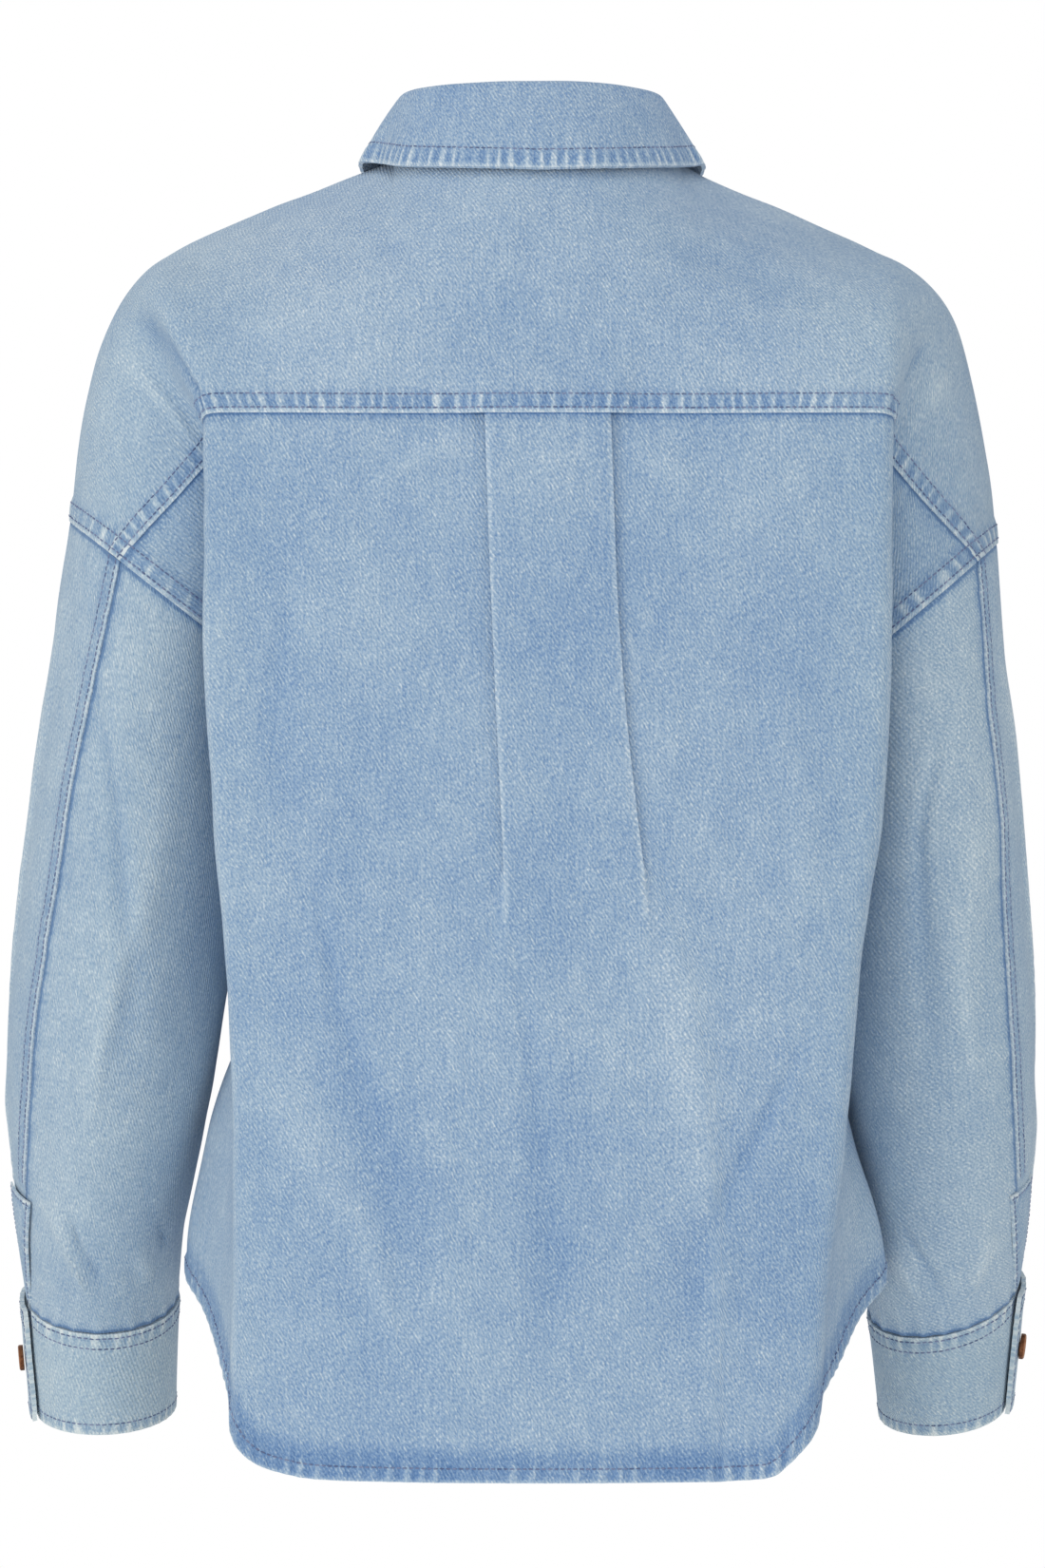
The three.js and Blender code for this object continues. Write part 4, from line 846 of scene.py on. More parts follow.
def lay(name, panel, cut, hole=None):
    """A cloth object: a flat grid of the cut's size, moved to the worn form."""
    rows, columns = panel.points.shape[:2]
    bpy.ops.object.select_all(action="DESELECT")
    bpy.ops.mesh.primitive_grid_add(x_subdivisions=columns - 1, y_subdivisions=rows - 1, size=1)
    cloth = bpy.context.object
    cloth.name = cloth.data.name = name
    cloth.scale = (cut[0], cut[1], 1)
    bpy.ops.object.transform_apply(location=False, rotation=False, scale=True)
    mesh = cloth.data
    mesh.vertices.foreach_set("co", (panel.points * MM).ravel())
    corner = np.zeros(len(mesh.loops), int)
    mesh.loops.foreach_get("vertex_index", corner)
    flat = np.stack([panel.u, panel.v], -1).reshape(-1, 2) * MM
    mesh.uv_layers[0].data.foreach_set("uv", flat[corner].ravel())
    for key in ("edge", "tucked", "fold", "pucker", "faded", "greyed"):
        values = getattr(panel, key).ravel().astype(np.float32)
        mesh.attributes.new(key, "FLOAT", "POINT").data.foreach_set("value", values)
    if hole is not None:
        bpy.context.tool_settings.mesh_select_mode = (False, False, True)
        mesh.vertices.foreach_set("select", np.zeros(len(mesh.vertices), bool))
        mesh.edges.foreach_set("select", np.zeros(len(mesh.edges), bool))
        mesh.polygons.foreach_set("select", hole.ravel())
        bpy.ops.object.mode_set(mode="EDIT")
        bpy.ops.mesh.delete(type="FACE")
        bpy.ops.object.mode_set(mode="OBJECT")
    if panel.outside < 0:
        mesh.flip_normals()
    return cloth


def thicken(cloth, thickness):
    wall = cloth.modifiers.new("wall", "SOLIDIFY")
    wall.thickness = thickness * MM
    wall.offset = 0
    wall.material_offset = 1
    bpy.context.view_layer.objects.active = cloth
    bpy.ops.object.modifier_apply(modifier="wall")
    bpy.ops.object.shade_smooth_by_angle(angle=math.radians(55))


def cell_area(points, hole=None):
    diagonals = np.cross(points[1:, 1:] - points[:-1, :-1], points[1:, :-1] - points[:-1, 1:])
    cells = np.linalg.norm(diagonals, axis=-1) / 2
    return float((cells if hole is None else cells[~hole]).sum()) * MM * MM


def finish_cloth(name, node, panel, thickness=CLOTH, hole=None):
    """Makes the cloth piece that replaces a solid, and says what sheet it was cut from."""
    cut = tuple(panel.cut)  # the lengths of its longest row and column
    cloth = lay(name, panel, cut, hole)
    for denim in (DENIM, DENIM_INSIDE):
        cloth.data.materials.append(denim)
    thicken(cloth, thickness)
    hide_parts(node)
    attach(cloth, "root")
    area = min(cell_area(panel.points, hole), cut[0] * cut[1])
    print(f"{name}: cut {cut[0] * 1000:.0f} x {cut[1] * 1000:.0f} mm, {area * 1e4:.0f} cm2,",
          len(cloth.data.polygons), "faces")
    return cloth


cloths = {}

# %% [markdown]
# ## Yoke
# The yoke is one piece over both shoulders. Its back edge laps over the back panel and its short front
# edges over the fronts. One grid runs from the front seams over the shoulders to the back seam, and the
# neck is cut out of it.

# %% Yoke
COLUMN, ROW = 1.9, 4.6  # spacing of the cloth's points across and down, in millimetres


def yoke_columns(side):
    foot = lambda guide: back_yoke(side, guide, 1)[0]
    in_neck = evenly(foot, 0, NECK_GUIDE, COLUMN)
    return np.concatenate([in_neck, evenly(foot, NECK_GUIDE, END_GUIDE, COLUMN, "end")[1:]]), len(in_neck) - 1


YOKE_SHARES = evenly(lambda t: back_yoke(LEFT, 3, t)[:, 0], 0, 1.006, ROW, "end")
WING_SHARES = evenly(lambda t: front_top(LEFT, 5, t)[:, 0], 0, FRONT_YOKE_SHARE, ROW, "end")


def yoke_half(side):
    guides, neck = yoke_columns(side)
    behind = back_yoke(side, guides, YOKE_SHARES)
    before = front_top(side, FRONT_NECK_GUIDE + np.maximum(0, guides - NECK_GUIDE), WING_SHARES[:0:-1])
    before[:, :neck] = behind[:1, :neck]
    return np.concatenate([before, behind])


yoke_points = both_sides(yoke_half)
wing_rows = len(WING_SHARES) - 1
neck_columns = [yoke_columns(side)[1] for side in SIDES]
middle = len(yoke_columns(RIGHT)[0]) - 1
yoke_hole = np.zeros((yoke_points.shape[0] - 1, yoke_points.shape[1] - 1), bool)
yoke_hole[:wing_rows, middle - neck_columns[1]:middle + neck_columns[0]] = True
across, down = arcs(yoke_points, 1), arcs(yoke_points[wing_rows:], 0)
below = np.concatenate([np.full((wing_rows, across.shape[1]), 99.0), down[-1:] - down])
front_down = arcs(yoke_points[:wing_rows + 1], 0)
before = np.concatenate([front_down[:-1], np.full((len(down), across.shape[1]), 99.0)])
lengths = arcs(yoke_points, 0)
fall = arcs(yoke_points * np.array([0, 1, 1]), 0)
up_from_seam = fall[-1:] - fall
yoke = Panel(yoke_points, 1, [
    Edge(below, across, seed=1.3, pitch=7.2, blue=1.5, blue_reach=13, shown=0.9),
    Edge(before, across, seed=2.3),
    Edge(across, lengths, seed=4.1, pitch=8),
    Edge(across[:, -1:] - across, lengths, seed=5.7, pitch=8),
], centre=middle, faded=0.06, grain=(across, up_from_seam))
cloths["yoke"] = finish_cloth("yoke_cloth", "yoke", yoke, hole=yoke_hole)

# %% [markdown]
# ## Back panel
# The back hangs from the yoke seam. Its box pleat is folded double under the yoke and opens on the way
# down, and the sides turn in behind the arms. The hem is turned up once and stitched, and it puckers more
# than any other edge.

# %% Back panel
back_columns = {side.name: evenly(lambda w: back_row(side, -330, w), 0, ROW_END, COLUMN, "end")
                for side in SIDES}
back_heights = evenly(lambda z: pack(0, 0, z), YOKE_SEAM_Z, LEFT.hem["centre"], ROW, "start end")


def back_half(side):
    return np.array([back_row(side, z, back_columns[side.name]) for z in back_heights])


back_points = both_sides(back_half)
across, down = arcs(back_points, 1), arcs(back_points, 0)
beyond_armhole = 60 * ease((UNDERARM_ROW_Z - back_heights[:, None]) / 20)
from_right = across + beyond_armhole
from_left = across[:, -1:] - across + beyond_armhole
middle = len(back_columns["right"]) - 1
# along a row, from the middle
places = np.concatenate([-back_columns["right"][::-1], back_columns["left"][1:]])
straight = ease((PLEAT_END + 2 - np.abs(places)) / 2)[None, :, None]
lifted = unit(mix(outward_normals(back_points, 1), np.array([0, 1.0, 0]), straight))
fold = np.full(across.shape, 60.0)
for end in (-FOLD_PLACE, FOLD_PLACE):
    column = np.abs(places - end).argmin()
    fold = np.minimum(fold, np.abs(across - across[:, column:column + 1]))
fold += 60 * ease((-390 - back_heights[:, None]) / 60)
step = np.diff(back_points, axis=1)
step = np.where(np.abs(places[1:]) < PLEAT_END + 1, step[..., 0], np.linalg.norm(step, axis=-1))
unfolded = np.concatenate([np.zeros((len(step), 1)), np.cumsum(step, 1)], 1)  # as if the pleat weren't folded
# Painted highlight: a pale strip along the back's rounded edges, half as strong on the right.
painted_edge_highlight = 0.11 * np.exp(-((np.abs(places) - 15.2) / 0.35)**2) * np.where(places < 0, 0.5, 1)
back = Panel(back_points, 1, [
    Edge(down[-1:] - down, across, band=HEM_BAND, pucker=0.6, reach=27, pitch=8.5, seed=7.7, blue=1.7,
         blue_reach=21, worn=0.3, shown=0.62),
    Edge(from_right, down, seed=8.8, pitch=8),
    Edge(from_left, down, seed=9.9, pitch=8),
    Edge(down, across, band=-5, lap=0, pucker=0.35, reach=16, pitch=6.5, seed=1.3, covered=True),
], centre=middle, lifted=lifted, fold=fold, faded=painted_edge_highlight, grain=(unfolded, -down))
cloths["back"] = finish_cloth("back_cloth", "back", back)

# %% [markdown]
# ## Fronts
# The photo doesn't show the front, so it is finished plainly: two fronts with a band along the opening,
# the wearer's right one on top. The band is a double strip, stitched along both of its edges.

# %% Fronts
FRONT_BAND = 33


def front_points(side):
    guides = evenly(lambda g: spline(front_guides(side, -330), g), 0, FRONT_END_GUIDE, COLUMN * 1.15,
                    "start end")
    shares = evenly(lambda t: front_upper(side, 4, t)[:, 0], 0, 1, ROW, "start")
    heights = evenly(lambda z: pack(0, 0, z), CHEST_Z, side.hem["front_centre"], ROW, "end")
    upper = front_upper(side, guides, shares[:-1])
    lower = np.array([spline(front_guides(side, z), guides) for z in heights])
    return np.concatenate([upper, lower]), len(shares) - 1, heights


for side in SIDES:
    points, upper_rows, heights = front_points(side)
    across, down = arcs(points, 1), arcs(points, 0)
    past = np.concatenate([np.zeros(upper_rows), 60 * ease((UNDERARM_ROW_Z - heights) / 20)])[:, None]
    points = mirrored(side, points)
    edges = [
        Edge(down[-1:] - down, across, band=HEM_BAND, pucker=0.5, reach=24, pitch=8.5, seed=3.3 + side.sign,
             blue=1.7, blue_reach=21, worn=0.3, shown=0.62),
        Edge(across[:, -1:] - across + past, down, seed=5.5 + side.sign, pitch=8),
        Edge(across, down, band=FRONT_BAND if side is RIGHT else 5, lap=0.7, pucker=0.25, reach=12,
             seed=6.5 + side.sign, blue=0.3),
        Edge(down, across, band=-5, lap=0, pucker=0.25, reach=14, seed=2.3, covered=True),
    ]
    front = Panel(points, -side.sign, edges)
    key = f"front_{side.name}"
    cloths[key] = finish_cloth(f"{key}_cloth", key, front)
    side.front = front

# %% [markdown]
# ## Sleeves
# Each sleeve is a tube of oval rings in two pieces: a wide outer one and an under one, which meet at the
# seam that runs down the back of the arm. The outer piece laps over it and is topstitched down to the
# placket.

# %% Sleeves
SEAM_END_SHARE = 0.72  # where the topstitched seam ends and the placket begins


def sleeve_skin(side, share, degrees, outward=0):
    p = sleeve_point(side, share, degrees)
    centre = (sleeve_point(side, share, 0) + sleeve_point(side, share, 180)) / 2
    under = ease((np.abs(degrees) - 85) / 80) * (1 - np.clip(share / 0.13, 0, 1))
    return p + unit(centre - p) * (2.3 * under - outward)[..., None]


def sleeve_grid(side, angles):
    """Rows down the sleeve; angles gives each row's places round it."""
    shares = evenly(lambda t: sleeve_point(side, t, 90), 0, 1, ROW, "start end")
    return shares, mirrored(side, sleeve_skin(side, shares[:, None], angles(shares[:, None])))


def round_sleeve(side, start, end):
    """Even places round the sleeve between two angles at its widest ring, as shares of the way."""
    places = evenly(lambda t: sleeve_point(side, 0, mix(start, end, t)), 0, 1, COLUMN * 1.1, "start")
    return places[None, :]


for side in SIDES:
    seam = lambda share: side.sleeve("seam", share)
    t = round_sleeve(side, side.seam_angle, -180)
    shares, outer = sleeve_grid(side, lambda share: mix(seam(share), -180, t))
    across, down = arcs(outer, 1), arcs(outer, 0)
    past = 60 * ease((shares - SEAM_END_SHARE) / 0.02)[:, None]
    panel = Panel(outer, side.sign, [
        Edge(across + past, down, band=8.5, pucker=0.3, reach=12, seed=1.1 + side.sign, pitch=7.5, shown=0.3),
        Edge(down, across, band=-5, lap=0, pucker=0.25, reach=14, seed=7.1, pitch=8, covered=True),
        Edge(down[-1:] - down, across, band=-5, lap=0, pucker=0.9, reach=26, seed=7.9 + side.sign, pitch=13,
             covered=True),
    ], faded=0.06)
    side.sleeve_panel, side.sleeve_shares = panel, shares
    key = f"sleeve_{side.name}_outer"
    cloths[key] = finish_cloth(f"{key}_cloth", key, panel)

    t = round_sleeve(side, 180, side.seam_angle)
    shares, under = sleeve_grid(side, lambda share: mix(180, seam(share), t))
    across, down = arcs(under, 1), arcs(under, 0)
    # Painted light: the under piece is painted paler towards the body, where it lies in shade.
    panel = Panel(under, side.sign, [
        Edge(down, across, band=-5, lap=0, pucker=0.25, reach=14, seed=7.1, pitch=8, covered=True),
        Edge(down[-1:] - down, across, band=-5, lap=0, pucker=0.9, reach=26, seed=8.9 + side.sign, pitch=13,
             covered=True),
        Edge(across[:, -1:] - across, down, band=-5, lap=0, pucker=0.2, reach=9, seed=9.7, pitch=7.5,
             covered=True),
    ], faded=0.08 + 0.1 * (1 - ease(t / 0.45)))
    key = f"sleeve_{side.name}_under"
    cloths[key] = finish_cloth(f"{key}_cloth", key, panel)

# %% [markdown]
# ## Plackets and cuffs
# A short strip covers the sleeve's slit. The cuff is a double band with two rows of stitches at its top
# and one at its foot. It passes over its own end, where a button holds it.

# %% Plackets and cuffs
CUFF_HEIGHT = 62


def ring(row, degrees, outward):
    slope, lean, angle = np.radians(row["slope"]), np.radians(row["lean"]), np.radians(degrees)
    across, deep = (row["half"] + outward) * np.cos(angle), (row["depth"] + outward) * np.sin(angle)
    return pack(row["x"] + across * np.cos(slope), row["y"] + deep * np.cos(lean),
                row["z"] + across * np.sin(slope) - deep * np.sin(lean))


def cuff_points(side, degrees, share):
    start = side.sleeve_end["seam"] + 8
    stand_off = 4.2 * (1 - ease((start - degrees - 26) / 40)) + 0.4
    return mix(ring(side.sleeve_end, degrees, stand_off), ring(side.cuff, degrees, stand_off), share)


for side in SIDES:
    seam = lambda share: side.sleeve("seam", share)
    shares = evenly(lambda t: sleeve_point(side, t, 90), 0.74, 0.985, 2.6, "start")[:, None]
    turns = np.linspace(-24, 8, 12)[None, :]
    strip = mirrored(side, sleeve_skin(side, shares, seam(shares) + turns, 1.8))
    across, down = arcs(strip, 1), arcs(strip, 0)
    edges = [Edge(d, s, band=-5, lap=0, pucker=0.16, reach=7, seed=k) for k, (d, s) in enumerate(
        [(across, down), (across[:, -1:] - across, down), (down, across)])]
    side.placket = Panel(strip, -side.sign, edges, uneven=0)
    key = f"placket_{side.name}"
    cloths[key] = finish_cloth(f"{key}_cloth", key, side.placket)

    start = side.sleeve_end["seam"] + 8
    turns = evenly(lambda a: cuff_points(side, a, 0.5), start, start - 388, 2.4, "start end")
    rows = evenly(lambda t: cuff_points(side, np.array(-60.0), t[:, None]), 0.6 / CUFF_HEIGHT, 1, 3.4,
                  "start end")
    band = mirrored(side, cuff_points(side, turns[None, :], rows[:, None, None]))
    across, down = arcs(band, 1), arcs(band, 0)
    # Painted light and shade: the left cuff is painted lighter, the right one darker.
    side.cuff_panel = Panel(band, side.sign, [
        Edge(down, across, band=-5, lap=0, pucker=0.5, reach=15, seed=2 + side.sign, pitch=8),
        Edge(down[-1:] - down, across, band=-5, lap=0, pucker=0.35, reach=12, seed=4 + side.sign, pitch=7),
        Edge(across, down, band=-5, lap=0, pucker=0.2, reach=9, seed=6),
        Edge(across[:, -1:] - across, down, band=-5, lap=0, pucker=0.2, reach=9, seed=8),
    ], creased=0, uneven=0.5, faded=0.09 + 0.03 * side.sign, greyed=0.07)
    key = f"cuff_{side.name}"
    cloths[key] = finish_cloth(f"{key}_cloth", key, side.cuff_panel, thickness=DOUBLE)

# %% [markdown]
# ## Collar and its stand
# The stand follows the neck seam. The collar turns over the stand's top edge and falls to a line just
# clear of the yoke, so a thin dark gap shows beneath it, as in the photo.

# %% Collar stand
NECK_CENTRE_Y = -14


def away(p):
    return unit(np.stack([p[..., 0], p[..., 1] - NECK_CENTRE_Y, np.zeros(p.shape[:-1])], -1))


def stand_top(p, along):
    lean = mix(RIGHT.neck_lean, LEFT.neck_lean, ease((p[..., 0] + 60) / 120))
    up = pack(0, 0, mix(STAND_HEIGHT, 25, along))
    return p + away(p) * (-lean + 4 * along)[..., None] + up


def neck_line(side, k, front_side, front_guides_at):
    """The neck seam: 0 to 5 behind, 5 to 8 along the yoke's short front edge, then along the front."""
    behind = back_neck(np.clip(k / 5, 0, 1))
    wing = front_top(side, FRONT_NECK_GUIDE, np.clip((k - 5) / 3, 0, 1) * FRONT_YOKE_SHARE)[:, 0]
    stops = np.arange(8, 8 + len(front_guides_at))
    before = front_upper(front_side, np.interp(k, stops, front_guides_at), 0)[0]
    return np.where((k <= 5)[:, None], behind, np.where((k <= 8)[:, None], wing, before))


STAND_GUIDES, STAND_STOPS = [3, 2.6, 2, 1.4, 0.75, 0], 13
COLLAR_GUIDES, COLLAR_STOPS = [3, 2.45, 1.85, 1.25], 11
stand_half = {}
for side in SIDES:
    line = lambda k: neck_line(side, k, side, STAND_GUIDES)
    k = evenly(line, 0, STAND_STOPS, 3.2)
    stand_half[side.name] = (mirrored(side, line(k)), k / STAND_STOPS)
seam_line = np.concatenate([stand_half["left"][0][::-1], stand_half["right"][0][1:]])
along = ease(np.concatenate([stand_half["left"][1][::-1], stand_half["right"][1][1:]]))
tangent = unit(np.gradient(seam_line, axis=0))
up = unit(np.array([0, 0, 1.0]) - tangent * tangent[:, 2:])
stand_foot = seam_line - 1.1 * away(seam_line) + 2.2 * up
rows = np.linspace(0, 1, 10)[:, None, None]
stand_points = mix(stand_foot[None], stand_top(seam_line, along)[None], rows)
across, down = arcs(stand_points, 1), arcs(stand_points, 0)
stand = Panel(stand_points, 1, [
    Edge(down, across, band=-5, lap=0, pucker=0.15, reach=8, seed=2),
    Edge(down[-1:] - down, across, band=-5, lap=0, pucker=0.15, reach=8, seed=3),
], creased=0, uneven=0.3)
if np.mean(np.sum(stand.normals * away(stand_points), -1)) < 0:
    raise SystemExit("the stand's cloth faces inwards")
cloths["collar_stand"] = finish_cloth("collar_stand_cloth", "collar_stand", stand, thickness=DOUBLE)

# %% Collar
def skin_and_normal(surface, guide, share):
    at = lambda g, s: surface(g, s)[0, 0]
    across = at(guide + 0.02, share) - at(guide - 0.02, share)
    down = at(guide, share + 0.01) - at(guide, share - 0.01)
    return at(guide, share), unit(np.cross(down, across))


# Where the collar's lower edge rests: surface, guide, share of the way down it, and the clearance over it
COLLAR_REST = [
    ("behind", 0, 0.175, 4), ("behind", 0.5, 0.17, 4), ("behind", 1, 0.15, 4), ("behind", 1.6, 0.12, 4.5),
    ("behind", 2.15, 0.07, 5), ("behind", 2.4, 0, 5.5), ("before", 3.42, 0.1, 5.5), ("before", 3.38, 0.2, 5),
    ("before", 3.25, 0.32, 5), ("before", 3.1, 0.44, 5), ("chest", 2.7, 0.44, 5), ("chest", 2.2, 0.5, 5),
]


def collar_edge(side):
    surfaces = {
        "behind": (lambda g, s: back_yoke(side, g, s), -1), "before": (lambda g, s: front_top(side, g, s), 1),
        "chest": (lambda g, s: front_upper(side, g, s), 1),
    }
    rest = []
    for name, guide, share, lift in COLLAR_REST:
        surface, sign = surfaces[name]
        p, n = skin_and_normal(surface, guide, share)
        rest.append(p + sign * lift * n)
    rest[0][0] = 0
    return np.array(rest)


# Up and out, where the collar turns over the stand's edge
TURN = [(2.2, 0), (4.4, 0.6), (5.6, 3), (4.4, 5.4)]
FALL_SHARES = [0.15, 0.3, 0.5, 0.7, 0.85, 1]


def collar_half(side):
    line = lambda k: neck_line(side, k, RIGHT, COLLAR_GUIDES)
    k = evenly(line, 0, COLLAR_STOPS, 1.7, "end")
    p = mirrored(side, line(k))
    out = away(p)
    top = stand_top(p, ease(k / COLLAR_STOPS))
    rest = mirrored(side, through(collar_edge(side), k))
    turned = [top + out * go + pack(0, 0, rise) for rise, go in TURN]
    fallen = [mix(turned[-1], rest, t) + out * 5 * t * (1 - t) for t in FALL_SHARES]
    section = np.array(turned + fallen)
    places = np.concatenate([np.linspace(0, 3, 10), np.linspace(3, 8, 13)[1:], [8.25, 8.5, 8.7, 8.85, 9]])
    return through(section, places)


collar_points = np.concatenate([collar_half(RIGHT)[:, ::-1], collar_half(LEFT)[:, 1:]], 1)
across, down = arcs(collar_points, 1), arcs(collar_points, 0)
collar = Panel(collar_points, 1, [
    Edge(down[-1:] - down, across, band=9, lap=0.35, pucker=0.5, reach=24, seed=12, pitch=7),
    Edge(across, down, band=9, lap=0.35, pucker=0.25, reach=12, seed=13),
    Edge(across[:, -1:] - across, down, band=9, lap=0.35, pucker=0.25, reach=12, seed=14),
], creased=0, uneven=0.7, centre=collar_points.shape[1] // 2)
cloths["collar"] = finish_cloth("collar_cloth", "collar", collar, thickness=DOUBLE)

# %% [markdown]
# ## Stitches
# Every lapped seam shows two rows of stitches in a bluish grey thread. One stitch is modelled, a small
# bead that lies half in the cloth, and copied along lines that stay a set distance from a panel's edge.
# Each panel's stitches are one joined mesh, because they never move apart.

# %% One stitch
STITCH = 3.3  # from one stitch to the next, in millimetres

thread = Finish("thread", Roughness=0.75, Specular_IOR_Level=0.2)
worn_thread = thread.flecks(thread.place(False), (130, 130, 130), detail=2).between(0.3, 0.7)
thread.feed(Base_Color=thread.blend(worn_thread, colour("#566589"), colour("#8590b0")))

bpy.ops.object.select_all(action="DESELECT")
bpy.ops.mesh.primitive_uv_sphere_add(segments=6, ring_count=3, radius=1, rotation=(0, math.radians(90), 0))
one_stitch = bpy.context.object
bpy.ops.object.transform_apply(rotation=True)
one_stitch.scale = (1.45, 0.5, 0.45)
bpy.ops.object.transform_apply(scale=True)
stitch_points = np.array([v.co[:] for v in one_stitch.data.vertices])
stitch_faces = [np.array(face.vertices[:]) for face in one_stitch.data.polygons]
print("faces of one stitch:", len(stitch_faces))
bpy.ops.object.delete()

# %% Rows of stitches
def seam_line(panel, edge, inset):
    """Places and normals along the line on a panel that stays this far from an edge."""
    grids = edge.distance, panel.points, panel.normals
    if edge.axis == 1:
        grids = [grid.swapaxes(0, 1) for grid in grids]
    distance, points, normals = grids
    line = []
    for k in range(distance.shape[1]):
        order = np.argsort(distance[:, k], kind="stable")
        d, found = distance[order, k], np.concatenate([points[order, k], normals[order, k]], 1)
        if d[0] < inset < d[-1]:
            line.append([np.interp(inset, d, column) for column in found.T])
    line = np.array(line)
    gaps = np.flatnonzero(np.linalg.norm(np.diff(line[:, :3], axis=0), axis=1) > 14) + 1
    return [part for part in np.split(line, gaps) if len(part) > 2]


def row_of_stitches(line, lift):
    """The points of each stitch along a line."""
    arc = arcs(line[:, :3], 0)
    count = int(arc[-1] / STITCH)
    at = lambda place: np.stack([np.interp(place, arc, column) for column in line.T], -1)
    place = (np.arange(count) + 0.5) * arc[-1] / count
    centre, normal = at(place)[:, :3], unit(at(place)[:, 3:])
    along = unit(at(place + 0.8)[:, :3] - at(place - 0.8)[:, :3])
    axes = np.stack([along, unit(np.cross(normal, along)), normal], 1)
    return (centre + normal * lift)[:, None] + stitch_points @ axes


def sew(name, *rows):
    """Joins a panel's stitches in one mesh; a row is a panel, its edge's number, insets and layers."""
    stitches = []
    for panel, edge, insets, lift in rows:
        for inset in insets:
            for line in seam_line(panel, panel.edges[edge], inset):
                stitches.append(row_of_stitches(line, lift))
    stitches = np.concatenate(stitches)
    points = stitches.reshape(-1, 3) * MM
    starts = np.arange(len(stitches)) * len(stitch_points)
    faces = [(face + start).tolist() for start in starts for face in stitch_faces]
    mesh = bpy.data.meshes.new(name)
    mesh.from_pydata(points.tolist(), [], faces)
    mesh.materials.append(thread.material)
    sewn = bpy.data.objects.new(name, mesh)
    scene_root.objects.link(sewn)
    mesh.shade_smooth()
    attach(sewn, "root")
    print(f"{name}: {len(stitches)} stitches")


scene_root = bpy.context.scene.collection
ONE, TWO = CLOTH / 2, DOUBLE / 2  # from the middle of the cloth to its outside
SEAM_ROWS = (2.8, 9.8)
sew("stitches_yoke", *[(yoke, k, SEAM_ROWS, ONE) for k in range(4)])
sew("stitches_back", (back, 0, (7.2,), ONE), (back, 1, SEAM_ROWS, ONE), (back, 2, SEAM_ROWS, ONE))
sew("stitches_collar", (collar, 0, (11,), TWO), (collar, 1, (5,), TWO), (collar, 2, (5,), TWO))
sew("stitches_collar_stand", (stand, 0, (2.5,), TWO), (stand, 1, (3,), TWO))
for side in SIDES:
    band = (2.6, FRONT_BAND - 2.6) if side is RIGHT else (2.6,)
    sew(f"stitches_front_{side.name}", (side.front, 0, (7.2,), ONE), (side.front, 1, SEAM_ROWS, ONE),
        (side.front, 2, band, ONE))
    sew(f"stitches_sleeve_{side.name}", (side.sleeve_panel, 0, (2.2, 7.6), ONE),
        *[(side.placket, k, (2.4,), ONE) for k in range(3)])
    sew(f"stitches_cuff_{side.name}", (side.cuff_panel, 0, (2.6, 8.6), TWO),
        *[(side.cuff_panel, k, (inset,), TWO) for k, inset in ((1, 6), (2, 3), (3, 3))])

# %% [markdown]
# ## Buttons
# The shirt closes with small copper buttons: a turned disc with a raised rim, a sunk ring and a low dome.
# One is turned from a cylinder by insets, then copied to every button's place in the frame. They are worn
# bright on the rim.

# %% Antique copper and one button
copper = Finish("antique_copper", Metallic=0.9, Roughness=0.42)
tarnish = copper.flecks(copper.place(False), (420, 420, 420), detail=4, rough=0.65).between(0.35, 0.68)
brightness = copper.kept("worn_rim") * 0.7 + tarnish * 0.3
copper.feed(Base_Color=copper.blend(brightness, colour("#5e3a28"), colour("#c98f67")),
            Roughness=0.55 - brightness * 0.25)
copper.bump(tarnish, 0.00008)

BUTTON_RADIUS = 7.5
# Each inset of the face: how far in, then how far up, in millimetres
TURNED = [(0.3, 0.4), (0.5, 0.35), (0.6, 0), (0.45, -0.4), (0.35, -0.45), (0.5, -0.1), (0.9, 0.05),
          (0.25, 0.3), (0.6, 0.25), (1.0, 0.15), (0.9, 0.05)]

bpy.ops.object.select_all(action="DESELECT")
bpy.ops.mesh.primitive_cylinder_add(vertices=40, radius=BUTTON_RADIUS * 0.94, depth=2.0, end_fill_type="NGON",
                                    location=(0, 0, 1.25))
one_button = bpy.context.object
bpy.ops.object.transform_apply()
bpy.context.tool_settings.mesh_select_mode = (False, False, True)
for inset, rise in TURNED:
    mesh = one_button.data
    top = max(mesh.polygons, key=lambda face: (len(face.vertices) > 4) * face.center.z)
    mesh.vertices.foreach_set("select", np.zeros(len(mesh.vertices), bool))
    mesh.edges.foreach_set("select", np.zeros(len(mesh.edges), bool))
    mesh.polygons.foreach_set("select", np.arange(len(mesh.polygons)) == top.index)
    bpy.ops.object.mode_set(mode="EDIT")
    bpy.ops.mesh.inset(thickness=inset, depth=0)
    bpy.ops.transform.translate(value=(0, 0, rise))
    bpy.ops.object.mode_set(mode="OBJECT")
edge_bevel = one_button.modifiers.new("edge", "BEVEL")
edge_bevel.width, edge_bevel.segments, edge_bevel.limit_method = 0.28, 2, "ANGLE"
bpy.ops.object.modifier_apply(modifier="edge")
bpy.ops.object.shade_smooth_by_angle(angle=math.radians(50))
height = np.array([v.co.z for v in one_button.data.vertices])
worn_rim = ease((height - 2.35) / 0.6).astype(np.float32)
one_button.data.attributes.new("worn_rim", "FLOAT", "POINT").data.foreach_set("value", worn_rim)
one_button.data.materials.append(copper.material)
print("faces of one button:", len(one_button.data.polygons), "height:", round(float(np.ptp(height)), 2))

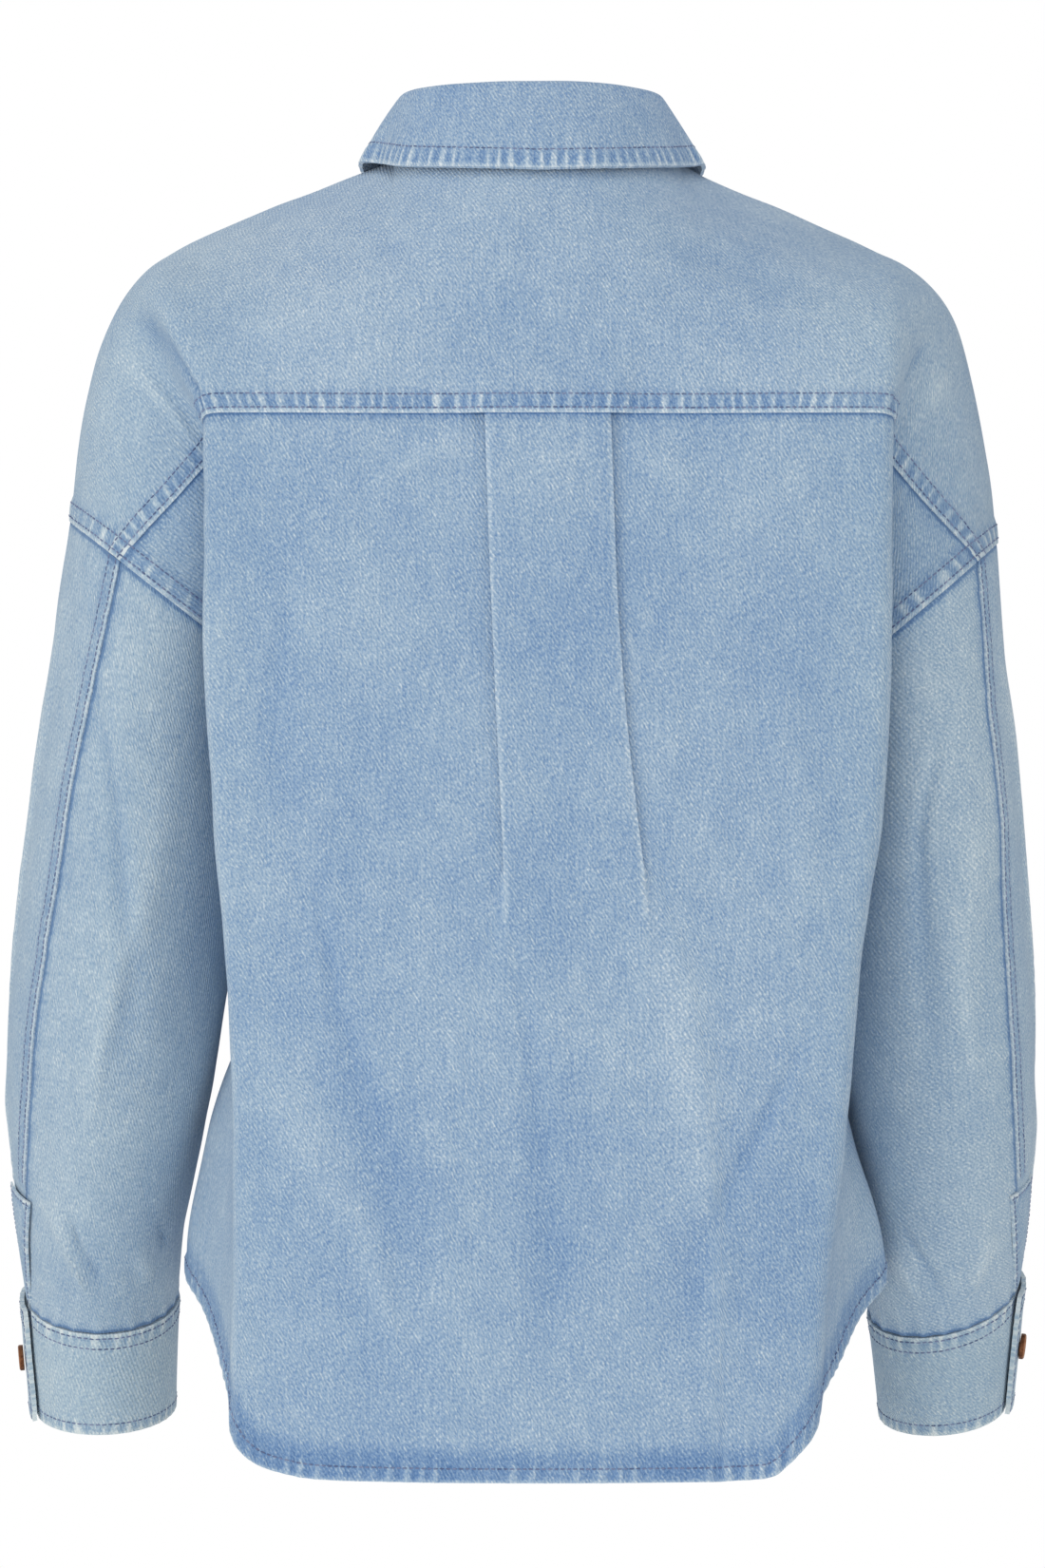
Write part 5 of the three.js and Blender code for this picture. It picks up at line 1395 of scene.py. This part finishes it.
# %% A button at each place
def button_axis(points, name):
    """Where a solid button sits and which way it faces."""
    centre = points.mean(0)
    axis = np.linalg.svd(points - centre)[2][2]
    inside = {"button_cuff_left": (0.2375, -0.09, centre[2]),
              "button_cuff_right": (-0.2225, -0.09, centre[2])}
    outward = centre - np.array(inside.get(name, (0, 0, centre[2])))
    axis = axis * np.sign(axis @ outward)
    return centre + axis * (points - centre).dot(axis).min(), axis


button_names = [f"button_front_{k}" for k in range(1, 8)] + ["button_collar", "button_cuff_left",
                                                             "button_cuff_right"]
for name in button_names:
    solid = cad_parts[name]
    points = np.array([(solid.matrix_world @ v.co)[:] for v in solid.data.vertices])
    foot, axis = button_axis(points, name)
    copy = one_button.copy()
    copy.data = one_button.data.copy()
    copy.name = copy.data.name = name.replace("button", "copper_button")
    scene_root.objects.link(copy)
    copy.data.transform(Matrix.Translation(foot) @ Vector(axis).to_track_quat("Z", "Y").to_matrix().to_4x4()
                        @ Matrix.Scale(MM, 4))
    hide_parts(name)
    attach(copy, "root")
bpy.data.objects.remove(one_button)
print("buttons:", len(button_names))

# %% [markdown]
# ## Light and stage
# The photo is a cut-out on white in soft light, so a pale floor lies far below the shirt, the
# surroundings are white, and two large soft lamps stand behind the camera. The one on the picture's left
# is the stronger.

# %% Light and stage
scene = bpy.context.scene
scene.view_settings.view_transform = "Standard"
FLOOR_Z = -1.42

bpy.ops.object.select_all(action="DESELECT")
bpy.ops.mesh.primitive_circle_add(vertices=96, radius=4.4, fill_type="NGON", location=(0, 0, FLOOR_Z))
floor = bpy.context.object
floor.name = "floor"
bpy.ops.object.transform_apply()
paper = Finish("paper", Roughness=0.95)
mottle = paper.flecks(paper.place(False), (3, 3, 3))
paper.feed(Base_Color=paper.blend(mottle, colour("#f4f4f4"), colour("#ffffff")))
floor.data.materials.append(paper.material)

LAMPS = [  # name, place, size in metres, power in watts
    ("lamp_left", (2.7, 1.9, -0.1), 1.6, 28), ("lamp_right", (-2.9, 1.5, -0.3), 1.8, 12),
    ("lamp_behind", (0.3, 3.5, 0.1), 2.4, 11), ("lamp_low", (0, 2.4, -1.2), 1.6, 8),
    ("lamp_front", (0.6, -3.2, 1.2), 2.0, 20), ("lamp_top", (0.3, 0.6, 2.3), 1.6, 13),
]
for name, place, size, power in LAMPS:
    aim = Vector((0, 0, -0.32)) - Vector(place)
    bpy.ops.object.light_add(type="AREA", location=place, rotation=aim.to_track_quat("-Z", "Y").to_euler())
    lamp = bpy.context.object
    lamp.name = name
    lamp.data.size = size
    lamp.data.energy = power
    if place[0] > 2 or place[0] < -2:
        lamp.data.color = (1, 0.95, 0.87)

world = bpy.data.worlds.new("surroundings")
world.use_nodes = True
scene.world = world
tree = world.node_tree
background = tree.nodes["Background"]
seen = tree.nodes.new("ShaderNodeLightPath")
strength = tree.nodes.new("ShaderNodeMapRange")
strength.inputs["To Min"].default_value = 0.55
strength.inputs["To Max"].default_value = 1.0
tree.links.new(seen.outputs["Is Camera Ray"], strength.inputs["Value"])
tree.links.new(strength.outputs["Result"], background.inputs["Strength"])
background.inputs["Color"].default_value = (1, 1, 1, 1)
